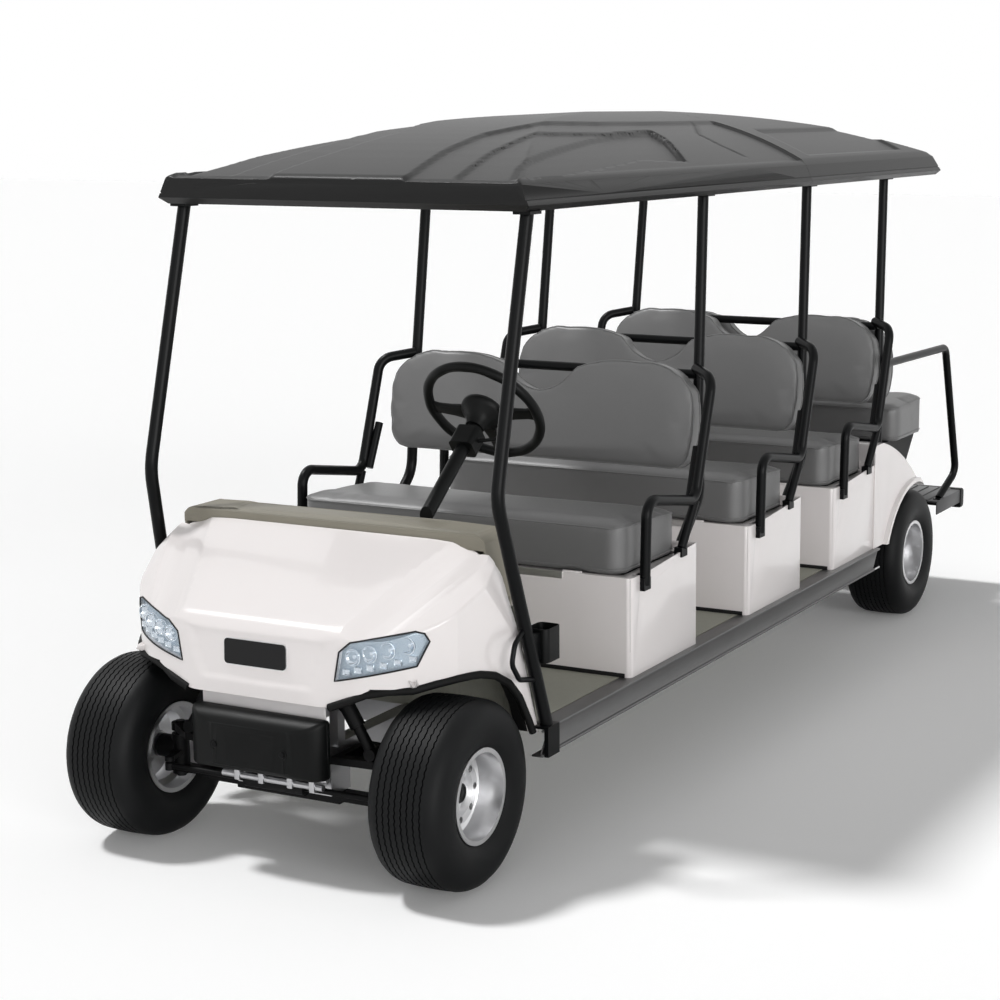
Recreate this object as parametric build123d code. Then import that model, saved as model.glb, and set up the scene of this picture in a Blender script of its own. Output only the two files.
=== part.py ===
"""Eight-seat golf cart: three forward bench rows, one rear-facing row, a two-piece roof on tube frames.

Frame: +X is the cart's left side, -Y its front, +Z up. The design values below count Y from the
front axle; every saved solid is shifted so that the origin lies on the floor, midway along the cart.
"""
import math
import os

from build123d import *

os.makedirs("parts", exist_ok=True)

# ---------------------------------------------------------------- driving dimensions (mm)
WHEELBASE = 3390
BODY_HALF = 616
BASE_DEPTH = 452
TYRE_R = 250
TYRE_HALF = 112

# clearances between pieces
SOFT_GAP = 0.3
PIN_GAP = 0.3
BEAD_GAP = 0.4
LAMP_GAP = 0.4
SPINDLE_GAP = 0.6
SEAM_GAP = 1
HINGE_GAP = 5.3

# wheels and tracks
RIM_R = 126
RIM_HALF = 96
RIM_WALL = 4
RIM_LEDGE = 8
WELL_DEPTH = 22
HUB_R = 42
HUB_BORE_R = 17
LUG_COUNT = 4
LUG_CIRCLE_R = 41
LUG_R = 7
VENT_COUNT = 8
VENT_R = 9
VENT_CIRCLE_R = 72
FRONT_TRACK_HALF = BODY_HALF - 20 - TYRE_HALF
REAR_TRACK_HALF = BODY_HALF - 16 - TYRE_HALF
KINGPIN_X = FRONT_TRACK_HALF - 108

# body datum planes
FLOOR_Z = 359
PANEL_T = 5
BASE_HALF = BODY_HALF - 21
BASE_TOP_Z = 653
BASE_REAR_RISE = 24
ROW_SHARE = (0.2469, 0.5009, 0.728)
ROW_FRONT_Y = tuple(round(WHEELBASE * share) for share in ROW_SHARE)
REAR_WALL_Y = ROW_FRONT_Y[2] + BASE_DEPTH
REAR_END_Y = WHEELBASE + 640
ORIGIN_Y = (REAR_END_Y - TYRE_R) / 2

# running gear
LEAF_T = 8
LEAF_HALF_W = 30
LEAF_TOP_Z = 200
LEAF_HALF_LENGTHS = (KINGPIN_X, KINGPIN_X - 111, KINGPIN_X - 211)
KINGPIN_R = 13
KINGPIN_HALF = 78
ARM_T = 20
ARM_BOTTOM_Z = 303
EYE_R = 24
STEER_ARM = 80
STEER_LEAN = 24
STEER_ARM_Z = 238
STEER_ARM_T = 12
BALL_R = 13
TIE_ROD_R = 8
TIE_ROD_Z = 225
RACK_R = 20
RACK_HALF = 95
SHOCK_TOP = (214, -60, 462)
SHOCK_FOOT = (KINGPIN_X - 86, -60, 340)

# ladder frame
SUBFRAME_X = 150
RAIL_HALF_W = 25
RAIL_TOP_Z = 349
RAIL_H = 70
REAR_RAIL_Z = 329
FRAME_X = REAR_TRACK_HALF - TYRE_HALF - 46
FRONT_FACE_Y = -130
CROSS_SHARE = (0.1165, 0.2655, 0.4425, 0.6195, 0.7965)
SPRING_X = FRAME_X - 30
SPRING_HALF_W = 22
SPRING_BOTTOM_Z = 190
SPRING_HALF_LENGTHS = (342, 230, 130)
HANGER_HALF_W = 15
HANGER_T = 20

# floor and sills
FLOOR_T = 10
FLOOR_HALF = BODY_HALF - 60
TOE_FOOT_Y = 345
TOE_TOP = (264, 690)
SILL_BOTTOM_Z = 283
SILL_WIDTH = 56
SILL_WALL = 5
SILL_LIP = 8
SILL_FRONT_Y = 264
SILL_REAR_Y = REAR_WALL_Y - 65
SILL_RAKE = 58

# cowl, drawn for a body of one half width and spread to the real one
DRAWN_HALF = 616
COWL_T = 5
COWL_EASE = 14
COWL_BOTTOM_Z = 468
LIP_Y = 192
LIP_Z = 866
BROW = (-114, 694)
CREASE = ((385, 185, 850), (258, -114, 694), (490, 190, 830))
# middles of the cowl edges that are eased: brow, crease and the three of the shoulder
EASED_EDGES = ((0, -114, 694), (282, 40, 784), (414, -89, 675), (519, 67, 748), (525, 158, 803))
SCOOP_R = 260
SCOOP_DEPTH = 12
SCOOP_SETBACK = 78
ARCH_TOP_Z = 553
ARCH_REAR_Y = 266
ARCH_MASK_X = FRONT_TRACK_HALF - TYRE_HALF - 42
LINER_T = 6
LINER_X = BODY_HALF - 81
LAMP_DEPTH = 45
LAMP_OUTLINE = ((240, 550), (254, 627), (285, 654), (433, 683), (452, 677), (461, 655), (437, 593))
RECESS_OUTLINE = ((-217, 646), (217, 646), (196, 540), (170, 517), (-170, 517), (-196, 540))
RECESS_DEPTH = 4

# dashboard
DASH_HALF = BODY_HALF - 129
DASH_TOP_Z = 899
DASH_END_Z = 867
DASH_REAR_Y = 320
DASH_PANEL_T = 12
DASH_FOOT_Z = 655
DASH_OPEN_Z = 700
DASH_LIP_Z = 845
DASH_WALL = 5
BIN_X = (-430, -40)
BIN_Z = (700, 820)
BIN_FRONT_Y = 219
BIN_WALL = 4

# steering column, wheel and pedals
COLUMN_FOOT = (222, 300, 869)
COLUMN_TILT = 38
COLUMN_R = 20
COLUMN_REACH = 445
SWITCH_BOX = (74, 62, 66)
SWITCH_SETBACK = 120
STALK_REACH = (118, 12, 14)
STALK_R = 5
WHEEL_RIM_R = 172
WHEEL_GRIP_R = 14
BOSS_DEPTH = 70
SPOKE_TURNS = (0, 90, 180)
PEDALS = ((165, 55), (300, 34))  # X of the lever, half width of its pad
PEDAL_PAD = (376, 492)
PEDAL_PAD_SIZE = (14, 92)
PEDAL_TILT = 22

# lower front
BUMPER_HALF = 211
BUMPER_Z = (280, 440)
BUMPER_FRONT_Y = -200
BUMPER_WALL = 14
LOWER_PANEL_HALF = 195

# cushions and backrests
CUSHION_HALF = BASE_HALF - 30
CUSHION_DEPTH = BASE_DEPTH - 54
CUSHION_T = 152
CUSHION_DROP = 20
CUSHION_CORNER = 55
CUSHION_INSET = 10
HINGE_R = 5
HINGE_X = 400
HINGE_LENGTH = 60
BACK_HALF = BASE_HALF - 41
BACK_BOTTOM_Z = 872
BACK_T = 72
BACK_HUMP_X = BACK_HALF - 266
BACK_HEIGHT = 338
BACK_SIDE_H = 240
BACK_NOTCH_HALF = 98
BACK_NOTCH_DROP = 106
BACK_LEAN = 8
BACK_REAR = BASE_DEPTH + 145

# rear-facing row
REAR_ROW_RAISE = 55
REAR_SEAT_Y = REAR_WALL_Y + 646
REAR_SEAT_DEPTH = 332
REAR_BACK_Y = REAR_WALL_Y + 245
REAR_BACK_T = 56
REAR_BACK_LEAN = 2
REAR_BACK_DROP = 15

# tube frames
RAIL_R = 16
RAIL_X = BASE_HALF + 5
RAIL_FOOT_Y = 82
RAIL_FOOT_HALF = 22
NOTCH_Z = 606
BAR_R = 15
BAR_RISE = 298
POST_R = 17
POST_TOP_X = BASE_HALF - 95
POST_FOOT_X = BASE_HALF - 67
POST_FOOT_Z = 690
POST_SETBACK = (248, 258, 276)  # post tops behind each row's base
POST_LEAN = 66
STRUT_R = 18
FRONT_STRUT = ((BODY_HALF - 66, 320, 1719), (BODY_HALF - 60, 136, 995), (BODY_HALF - 8, 300, 366))
STRUT_LOOP = ((33, 222, 640), (24, 160, 615), (24, 142, 565), (24, 182, 515), (20, 250, 500))
STRUT_LOOP_R = 7
CUP_FRONT_Y = 276
CUP_Z = 585
CUP_SIZE = (66, 80)
CUP_HALF_H = 46
CUP_WALL = 3

# rear body and step
DECK_Z = 747
REAR_BODY_Y = REAR_WALL_Y - 35
REAR_BODY_END_Y = WHEELBASE + 50
REAR_ARCH_FRONT_Y = REAR_WALL_Y + 72
ARCH_LIP = 16
CRADLE_HALF = BASE_HALF - 75
CRADLE_T = 8
STEP_Z = 410
STEP_T = 6
STEP_FRONT_Y = REAR_END_Y - 350
STEP_HALF = BODY_HALF - 31
STEP_LEDGE = 41
STEP_LEDGE_DROP = 5
STEP_APRON = 60
BEAM_DEPTH = 46
BEAM_BOTTOM_Z = 328

# roof
ROOF_Z = 1725
ROOF_HALF = BODY_HALF - 26
ROOF_FRONT_Y = 255
ROOF_REAR_Y = WHEELBASE + 216
ROOF_SPLIT_Y = round(WHEELBASE * 0.6578)
ROOF_CROWN_Z = 1976
# the roof's top line: share of its rear end's Y, height
ROOF_CROWN = ((0.2274, 1921), (0.416, 1966), (0.6517, 1973), (0.8597, 1912))
ROOF_FASCIA_H = 85
ROOF_SKIN = 14
ROOF_RIM = 150
GUTTER_INSET = 92
GUTTER_WIDTH = 26
GUTTER_DEPTH = 8


# ---------------------------------------------------------------- helpers
def save(name, shape):
    """Write one node, moved so that the cart's middle is at the origin."""
    export_step(Pos(0, -ORIGIN_Y, 0) * shape, f"parts/{name}.step")


def block(x, y, z):
    """A box from three (low, high) pairs."""
    size = (x[1] - x[0], y[1] - y[0], z[1] - z[0])
    return Pos((x[0] + x[1]) / 2, (y[0] + y[1]) / 2, (z[0] + z[1]) / 2) * Box(*size)


def around(middle, half):
    """The (low, high) pair that reaches as far to each side of a middle."""
    return middle - half, middle + half


def both(shape):
    """The shape and its mirror image across the centre plane, as separate solids."""
    return Compound([*shape.solids(), *mirror(shape, about=Plane.YZ).solids()])


def rod(start, end, radius):
    """A round bar between two points."""
    axis = Vector(*end) - Vector(*start)
    return Solid.make_cylinder(radius, axis.length, Plane(start, z_dir=axis))


def cross_rod(half, y, z, radius):
    """A round bar across the cart."""
    return rod((-half, y, z), (half, y, z), radius)


def tube(points, radius, bends):
    """A round bar along a route with rounded corners."""
    path = FilletPolyline(*points, radius=bends)
    section = Plane(path @ 0, z_dir=path % 0) * Circle(radius)
    return sweep(section, path=path)


def side_prism(outline, x):
    """A (y, z) outline, given as lines and arcs, extruded across the cart."""
    return Pos(x[0], 0, 0) * extrude(Plane.YZ * make_face(outline), x[1] - x[0])


def front_prism(outline, y):
    """An (x, z) outline extruded along the cart."""
    return Pos(0, y[0], 0) * extrude(Plane.XZ * make_face(outline), -(y[1] - y[0]))


def plan_prism(outline, z):
    """An (x, y) outline extruded upward."""
    return Pos(0, 0, z[0]) * extrude(make_face(outline), z[1] - z[0])


def loop(*points):
    return Polyline(*points, close=True).edges()


def mirrored(edges):
    """Edges of a half outline and their mirror images across the drawing's vertical axis."""
    return [*edges, *(mirror(edge, about=Plane.YZ) for edge in edges)]


def inset(outline, amount):
    """A closed outline as a face, drawn in by an amount."""
    face = make_face(outline)
    return offset(face, amount=-amount) if amount else face


# ---------------------------------------------------------------- wheels
def tyre():
    """A balloon tyre about the X axis, seated just clear of its rim."""
    bead = RIM_R - RIM_WALL - 3
    seat_half = RIM_HALF - RIM_WALL - BEAD_GAP
    side = [  # distance from the tyre's mid plane, radius
        (seat_half, bead),
        (seat_half, RIM_R + BEAD_GAP),
        (TYRE_HALF, TYRE_R - 76),
        (TYRE_HALF - 5, TYRE_R - 34),
        (TYRE_HALF - 22, TYRE_R - 9),
        (TYRE_HALF - 54, TYRE_R),
    ]
    return revolve(make_face(loop(*side, *((-x, r) for x, r in reversed(side)))), Axis.X)


def rim():
    """A pressed wheel: rolled flanges, stepped barrel, dished centre with vents, and a bored hub."""
    well = RIM_R - WELL_DEPTH
    seat = RIM_R - RIM_WALL - 3 - BEAD_GAP
    ledge = RIM_R - RIM_WALL - RIM_LEDGE
    inside = well - RIM_WALL
    flange = RIM_HALF - RIM_WALL
    barrel = make_face(loop(
        (-RIM_HALF, RIM_R), (-RIM_HALF, ledge), (-52, ledge), (-40, inside), (10, inside), (22, ledge),
        (RIM_HALF, ledge), (RIM_HALF, RIM_R), (flange, RIM_R), (flange, seat), (24, seat), (12, well),
        (-42, well), (-54, seat), (-flange, seat), (-flange, RIM_R),
    ))
    disc = make_face(loop(
        (2, inside), (8, inside), (34, 84), (34, 62), (16, 52), (16, HUB_BORE_R), (-40, HUB_BORE_R),
        (-40, HUB_R - 6), (4, HUB_R), (8, 56), (27, 66), (27, 80),
    ))
    wheel = revolve(barrel, Axis.X) + revolve(disc, Axis.X)
    along = Rot(0, 90, 0)
    cap = Pos(20, 0, 0) * (along * Cylinder(HUB_BORE_R + 8, 18))
    nuts = [Rot(360 / LUG_COUNT * i, 0, 0) * Pos(19, LUG_CIRCLE_R, 0) * (along * Cylinder(LUG_R, 16))
            for i in range(LUG_COUNT)]
    vents = [Rot(360 / VENT_COUNT * i, 0, 0) * Pos(30, VENT_CIRCLE_R, 0) * (along * Cylinder(VENT_R, 40))
             for i in range(VENT_COUNT)]
    return wheel + cap + nuts - vents


def at_wheel(shape, side, x, y):
    """Place a left-hand wheel part at one corner; the right side gets its mirror image."""
    placed = Pos(x, y, TYRE_R) * shape
    return placed if side == "left" else mirror(placed, about=Plane.YZ)


def save_wheels():
    tyre_shape, rim_shape = tyre(), rim()
    for axle, x, y in (("front", FRONT_TRACK_HALF, 0), ("rear", REAR_TRACK_HALF, WHEELBASE)):
        for side in ("left", "right"):
            save(f"tyre_{axle}_{side}", at_wheel(tyre_shape, side, x, y))
            save(f"rim_{axle}_{side}", at_wheel(rim_shape, side, x, y))


# ---------------------------------------------------------------- front axle
def knuckle():
    """The left steering knuckle: kingpin, boss, stub axle and a steering arm that leans inward."""
    centre = (KINGPIN_X, 0, TYRE_R)
    pin = Pos(*centre) * Cylinder(KINGPIN_R, 2 * KINGPIN_HALF)
    boss = Pos(*centre) * Cylinder(EYE_R, 84)
    stub = rod(centre, (FRONT_TRACK_HALF + 6, 0, TYRE_R), HUB_BORE_R - SPINDLE_GAP)
    collar = rod(centre, (FRONT_TRACK_HALF - 46, 0, TYRE_R), HUB_R - 10)
    ball_x = KINGPIN_X - STEER_LEAN
    height = (STEER_ARM_Z, STEER_ARM_Z + STEER_ARM_T)
    outline = loop((KINGPIN_X - 15, 0), (KINGPIN_X + 15, 0),
                   (ball_x + 10, -STEER_ARM), (ball_x - 10, -STEER_ARM))
    arm = plan_prism(outline, height)
    tip = plan_prism(Pos(ball_x, -STEER_ARM) * Circle(BALL_R).edge(), height)
    return pin + boss + stub + collar + arm + tip


def leaf_spring():
    """The transverse front spring: three stacked leaves, the longest with an eye at each kingpin."""
    leaves = [block(around(0, half), around(0, LEAF_HALF_W),
                    (LEAF_TOP_Z - LEAF_T * (i + 1), LEAF_TOP_Z - LEAF_T * i))
              for i, half in enumerate(LEAF_HALF_LENGTHS)]
    spring = leaves[0] + leaves[1] + leaves[2]
    for side in (-1, 1):
        spring += Pos(side * KINGPIN_X, 0, LEAF_TOP_Z - LEAF_T) * Cylinder(EYE_R, 3 * LEAF_T)
        spring -= Pos(side * KINGPIN_X, 0, LEAF_TOP_Z) * Cylinder(KINGPIN_R + PIN_GAP, 12 * LEAF_T)
    return spring - both(block((KINGPIN_X, KINGPIN_X + 2 * EYE_R), (EYE_R, 2 * LEAF_HALF_W), (0, TYRE_R)))


def control_arms():
    """The two upper arms: tapering plates from the front frame to the kingpins."""
    inner = SUBFRAME_X + RAIL_HALF_W
    waist = KINGPIN_X - 76
    outline = loop((inner, -85), (waist, -76), (KINGPIN_X, -EYE_R),
                   (KINGPIN_X, EYE_R), (waist, 76), (inner, 85))
    plate = plan_prism(outline, (ARM_BOTTOM_Z, ARM_BOTTOM_Z + ARM_T))
    opening = loop((inner + 22, -52), (waist - 10, -46), (waist + 30, -14),
                   (waist + 30, 14), (waist - 10, 46), (inner + 22, 52))
    window = plan_prism(opening, (ARM_BOTTOM_Z + 6, ARM_BOTTOM_Z + ARM_T))
    eye = Pos(KINGPIN_X, 0, ARM_BOTTOM_Z + ARM_T / 2) * Cylinder(EYE_R, ARM_T)
    bore = Pos(KINGPIN_X, 0, ARM_BOTTOM_Z) * Cylinder(KINGPIN_R + PIN_GAP, 6 * ARM_T)
    return both(plate - window + eye - bore)


def front_shocks():
    """A damper at each side, from the frame's tower down to the upper arm."""
    top, foot = Vector(*SHOCK_TOP), Vector(*SHOCK_FOOT)
    middle = top + (foot - top) * 0.45
    damper = rod(top, foot, 9) + rod(top, middle, 21) + rod(middle, foot, 15)
    for point in (top, foot):
        damper += rod(point - Vector(0, 16, 0), point + Vector(0, 16, 0), 17)
    return both(damper)


def tie_rod():
    """The sliding rack bar, with a ball-joint housing under each steering arm."""
    reach = KINGPIN_X - STEER_LEAN
    bar = cross_rod(reach, -STEER_ARM, TIE_ROD_Z, TIE_ROD_R)
    for side in (-1, 1):
        bar += Pos(side * reach, -STEER_ARM, TIE_ROD_Z - 2) * Cylinder(BALL_R, 20)
    return bar


def steering_rack():
    """The rack housing that the bar slides through, hung from the front frame."""
    housing = cross_rod(RACK_HALF, -STEER_ARM, TIE_ROD_Z, RACK_R)
    housing -= cross_rod(2 * RACK_HALF, -STEER_ARM, TIE_ROD_Z, TIE_ROD_R + SOFT_GAP)
    for side in (-1, 1):
        hanger_z = (TIE_ROD_Z + 15, RAIL_TOP_Z - RAIL_H)
        housing += block(around(side * (RACK_HALF - 15), 10), around(-STEER_ARM, 14), hanger_z)
    return housing


# ---------------------------------------------------------------- frame and floor
def frame_rail(x, y, top):
    """One box-section rail, given by its (low, high) Y and its top height."""
    return block(around(x, RAIL_HALF_W), y, (top - RAIL_H, top))


def chassis():
    """The ladder frame: narrow between the front wheels, wide under the floor, raised over the rear axle."""
    bottom = RAIL_TOP_Z - RAIL_H
    raised = REAR_RAIL_Z + RAIL_H
    cross_y = [round(WHEELBASE * share) for share in CROSS_SHARE]
    kick_y = REAR_WALL_Y + 30
    parts = []
    for side in (-1, 1):
        parts.append(frame_rail(side * SUBFRAME_X, (FRONT_FACE_Y, cross_y[0] + 25), RAIL_TOP_Z))
        parts.append(frame_rail(side * FRAME_X, (cross_y[0] - 25, kick_y + 50), RAIL_TOP_Z))
        parts.append(frame_rail(side * FRAME_X, (kick_y, REAR_END_Y - 60), raised))
        for y in (WHEELBASE - SPRING_HALF_LENGTHS[0], WHEELBASE + SPRING_HALF_LENGTHS[0] - HANGER_T):
            hanger_z = (SPRING_BOTTOM_Z + 3 * LEAF_T, REAR_RAIL_Z)
            parts.append(block(around(side * SPRING_X, HANGER_HALF_W), (y, y + HANGER_T), hanger_z))
    for y in cross_y:
        parts.append(block(around(0, FRAME_X), around(y, 25), (bottom, RAIL_TOP_Z)))
    for y in cross_y[1:]:
        parts.append(block(around(0, BODY_HALF - 20), around(y, 20), (SILL_BOTTOM_Z + 25, RAIL_TOP_Z)))
    for y in (kick_y + 25, WHEELBASE + 270, REAR_END_Y - 100):
        parts.append(block(around(0, FRAME_X), around(y, 25), (REAR_RAIL_Z, raised)))
    parts.append(block(around(0, SUBFRAME_X), (-120, -70), (bottom, RAIL_TOP_Z)))
    parts.append(block(around(0, SUBFRAME_X), (-45, 45), (LEAF_TOP_Z, RAIL_TOP_Z)))
    tower_x, tower_y, tower_z = SHOCK_TOP
    for side in (-1, 1):
        parts.append(block(around(side * (tower_x - 31), 13), around(tower_y, 16), (RAIL_TOP_Z, tower_z + 18)))
    return parts[0].fuse(*parts[1:])


def floor_pan():
    """The floor plate with the toe board that climbs to the cowl."""
    top, low, rear = FLOOR_Z, FLOOR_Z - FLOOR_T, REAR_WALL_Y - 72
    y, z = TOE_TOP
    outline = loop((TOE_FOOT_Y, low), (rear, low), (rear, top), (TOE_FOOT_Y + 7, top), (332, 440),
                   (y, 575), (y, z), (y - 9, z), (y - 9, 573), (323, 436), (338, top))
    return side_prism(outline, around(0, FLOOR_HALF))


def sill():
    """The left rocker: a channel with a lip along its top and bottom edges, raked at both ends."""
    inner = BODY_HALF - SILL_WIDTH
    web = BODY_HALF - SILL_LIP
    low, wall = SILL_BOTTOM_Z, SILL_WALL
    section = loop(
        (inner, FLOOR_Z), (BODY_HALF, FLOOR_Z), (BODY_HALF, FLOOR_Z - SILL_LIP), (web, FLOOR_Z - SILL_LIP),
        (web, low + SILL_LIP), (BODY_HALF, low + SILL_LIP), (BODY_HALF, low), (inner + 20, low),
        (inner + 20, low + wall), (web - wall, low + wall), (web - wall, FLOOR_Z - wall), (inner, FLOOR_Z - wall))
    channel = front_prism(section, (SILL_FRONT_Y, SILL_REAR_Y + SILL_RAKE))
    rake = side_prism(loop((SILL_FRONT_Y, low), (SILL_FRONT_Y + SILL_RAKE, FLOOR_Z),
                           (SILL_REAR_Y + SILL_RAKE, FLOOR_Z), (SILL_REAR_Y, low)), (0, 2 * BODY_HALF))
    return channel & rake


# ---------------------------------------------------------------- cowl and dashboard
def wide(x, other):
    """A drawn cowl point with its X spread to the body's width."""
    return x * BODY_HALF / DRAWN_HALF, other


def wide_loop(points):
    return loop(*(wide(*point) for point in points))


def cowl_side():
    brow_y, brow_z = BROW
    return [
        Line((-155, COWL_BOTTOM_Z), (-166, 545)),
        Line((-166, 545), (-163, 630)),
        ThreePointArc((-163, 630), (-148, 668), (brow_y, brow_z)),
        ThreePointArc((brow_y, brow_z), (25, 775), (LIP_Y, LIP_Z)),
        Line((LIP_Y, LIP_Z), (300, 335)),
        Line((300, 335), (-155, COWL_BOTTOM_Z)),
    ]


def cowl_plan():
    return mirrored([
        ThreePointArc(wide(0, -168), wide(120, -165), wide(235, -150)),
        ThreePointArc(wide(235, -150), wide(410, -92), wide(505, 20)),
        Line(wide(505, 20), wide(590, 310)),
        Line(wide(590, 310), wide(0, 310)),
    ])


def cowl_front():
    return mirrored([
        ThreePointArc(wide(0, 874), wide(220, 870), wide(435, 862)),
        ThreePointArc(wide(435, 862), wide(503, 834), wide(533, 757)),
        Line(wide(533, 757), wide(558, 642)),
        Line(wide(558, 642), wide(588, 330)),
        Line(wide(588, 330), wide(0, 330)),
    ])


def crease_plane(amount=0):
    """The plane of the flat outside the left hood crease, drawn in by an amount; its X runs to the nose."""
    low, nose, high = (Vector(x * BODY_HALF / DRAWN_HALF, y, z) for x, y, z in CREASE)
    across = (nose - low).cross(high - low).normalized()
    above = across if across.Z > 0 else -across
    return Plane(low - above * amount, x_dir=nose - low, z_dir=above)


def cowl_block(amount):
    """The cowl's sharp form, drawn in by an amount: where side, plan and front outlines meet."""
    side = Pos(-BODY_HALF, 0, 0) * extrude(Plane.YZ * inset(cowl_side(), amount), 2 * BODY_HALF)
    plan = Pos(0, 0, SILL_BOTTOM_Z) * extrude(inset(cowl_plan(), amount), LIP_Z)
    front = Pos(0, -TYRE_R, 0) * extrude(Plane.XZ * inset(cowl_front(), amount), -3 * TYRE_R)
    cutter = crease_plane(amount) * (Pos(0, 0, BODY_HALF) * Box(4 * BODY_HALF, 4 * BODY_HALF, 2 * BODY_HALF))
    return (side & plan & front) - cutter - mirror(cutter, about=Plane.YZ)


def scoops(grow=0):
    """The two long hollows outside the hood creases, each a shallow bite of a large cylinder."""
    plane = crease_plane()
    outward = plane.y_dir if plane.y_dir.X > 0 else -plane.y_dir
    middle = plane.origin + outward * SCOOP_SETBACK + plane.z_dir * (SCOOP_R - SCOOP_DEPTH)
    return both(rod(middle - plane.x_dir * BODY_HALF, middle + plane.x_dir * BODY_HALF, SCOOP_R + grow))


def cowl_outer():
    """The cowl's outer form, with its creases, brow and shoulders eased and the scoops hollowed."""
    form = cowl_block(0)
    eased = []
    for x, y, z in EASED_EDGES:
        for side in (-1, 1):
            nearest = form.edges().sort_by_distance((side * wide(x, 0)[0], y, z))[0]
            eased += [] if x == 0 and side > 0 else [nearest]
    return fillet(eased, COWL_EASE) - scoops()


def arch_edges():
    """The front wheel opening, seen from the side."""
    front_y, foot_z = -TYRE_R - 60, 300
    return [
        Line((front_y, foot_z), (front_y, 530)),
        Line((front_y, 530), (-79, 535)),
        ThreePointArc((-79, 535), (60, ARCH_TOP_Z), (184, 505)),
        ThreePointArc((184, 505), (236, 425), (ARCH_REAR_Y, 335)),
        Line((ARCH_REAR_Y, 335), (ARCH_REAR_Y, foot_z)),
        Line((ARCH_REAR_Y, foot_z), (front_y, foot_z)),
    ]


def arch_cutter():
    """What the left wheel opening takes from the cowl, with the cut-away corner beside the bumper."""
    far = 2 * BODY_HALF
    side = side_prism(arch_edges(), (ARCH_MASK_X, far))
    corner = loop((BUMPER_HALF, 300), (BUMPER_HALF, 472), (ARCH_MASK_X, 530), (far, 530), (far, 300))
    return side + front_prism(corner, (-TYRE_R - 60, -79))


def front_cowl(outer):
    """The moulded front cowl: a thin shell, open below and behind, with arches and lamp openings."""
    inner = cowl_block(COWL_T) - scoops(COWL_T)
    shell = outer - inner - Pos(0, 2.5 * COWL_T, 0) * inner - Pos(0, 0, -3 * COWL_T) * inner
    face = cowl_block(RECESS_DEPTH)
    shell -= front_prism(wide_loop(RECESS_OUTLINE), (-TYRE_R, 0)) & (outer - face)
    floor_face = offset(make_face(wide_loop(RECESS_OUTLINE)), amount=COWL_T)
    recess_floor = Pos(0, -TYRE_R, 0) * extrude(Plane.XZ * floor_face, -TYRE_R)
    shell += recess_floor & (face - cowl_block(RECESS_DEPTH + COWL_T))
    for cutter in (front_prism(wide_loop(LAMP_OUTLINE), (-TYRE_R, 60)), arch_cutter()):
        shell = shell - cutter - mirror(cutter, about=Plane.YZ)
    return shell - block(around(0, ARCH_MASK_X), (-100, 2 * TYRE_R), (0, COWL_BOTTOM_Z))


def headlamp(outer):
    """The left lamp unit, whose lens follows the cowl's surface."""
    outline = offset(make_face(wide_loop(LAMP_OUTLINE)), amount=-LAMP_GAP)
    prism = Pos(0, -TYRE_R, 0) * extrude(Plane.XZ * outline, -(TYRE_R + 60))
    return prism & (outer - cowl_block(LAMP_DEPTH))


def arch_liner():
    """The left wheel-arch liner, just inside the cowl's edge."""
    ring = make_face(arch_edges()) - offset(make_face(arch_edges()), amount=-LINER_T)
    strip = Pos(ARCH_MASK_X, 0, 0) * extrude(Plane.YZ * ring, BODY_HALF)
    bend_z = ARCH_TOP_Z - 40
    over = block((ARCH_MASK_X, BODY_HALF), (-TYRE_R, ARCH_REAR_Y + 1), (bend_z, ARCH_TOP_Z))
    behind = block((LINER_X, BODY_HALF), (100, ARCH_REAR_Y + 1), (345, bend_z))
    return strip & (over + behind) & cowl_block(COWL_T + SOFT_GAP)


def dash_form(amount):
    """The dash's outer form, drawn in by an amount: a bowed top that falls at both ends."""
    half, top = DASH_HALF, DASH_TOP_Z
    front = mirrored([
        ThreePointArc((0, top), (260, top - 3), (half - 45, top - 11)),
        ThreePointArc((half - 45, top - 11), (half - 13, top - 18), (half, DASH_END_Z)),
        Line((half, DASH_END_Z), (half, DASH_FOOT_Z)),
        Line((half, DASH_FOOT_Z), (0, DASH_FOOT_Z)),
    ])
    start, panel, end = LIP_Y + SOFT_GAP, DASH_REAR_Y, DASH_REAR_Y + DASH_PANEL_T
    side = loop((start, DASH_LIP_Z), (start, top - 15), (start + 22, top), (panel - 20, top - 2), (end, top - 19),
                (end, DASH_FOOT_Z), (panel, DASH_FOOT_Z), (panel, DASH_OPEN_Z), (start + 42, DASH_OPEN_Z))
    across = Pos(-half, 0, 0) * extrude(Plane.YZ * inset(side, amount), 2 * half)
    return across & (Pos(0, LIP_Y, 0) * extrude(Plane.XZ * inset(front, amount), -2 * LIP_Y))


def dashboard():
    """The dash housing: thin walls behind the cowl's lip, open below, an upright panel and a parcel bin."""
    inside = around(0, DASH_HALF - DASH_WALL)
    panel = block(inside, (DASH_REAR_Y, DASH_REAR_Y + DASH_PANEL_T), (DASH_FOOT_Z, DASH_TOP_Z - 24))
    housing = dash_form(0) - dash_form(DASH_WALL) + (panel & dash_form(0))
    housing -= block(inside, (0, DASH_REAR_Y), (0, DASH_LIP_Z))
    for rise in (0, SOFT_GAP):
        housing -= Pos(0, SOFT_GAP - rise / 2, rise) * cowl_block(0)
    outer_x, outer_z = (BIN_X[0] - BIN_WALL, BIN_X[1] + BIN_WALL), (BIN_Z[0] - BIN_WALL, BIN_Z[1] + BIN_WALL)
    pocket = block(outer_x, (BIN_FRONT_Y - BIN_WALL, DASH_REAR_Y + 1), outer_z)
    return housing + pocket - block(BIN_X, (BIN_FRONT_Y, 2 * DASH_REAR_Y), BIN_Z)


# ---------------------------------------------------------------- steering column, wheel and pedals
def column_axis():
    tilt = math.radians(COLUMN_TILT)
    return Vector(0, math.cos(tilt), math.sin(tilt))


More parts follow.
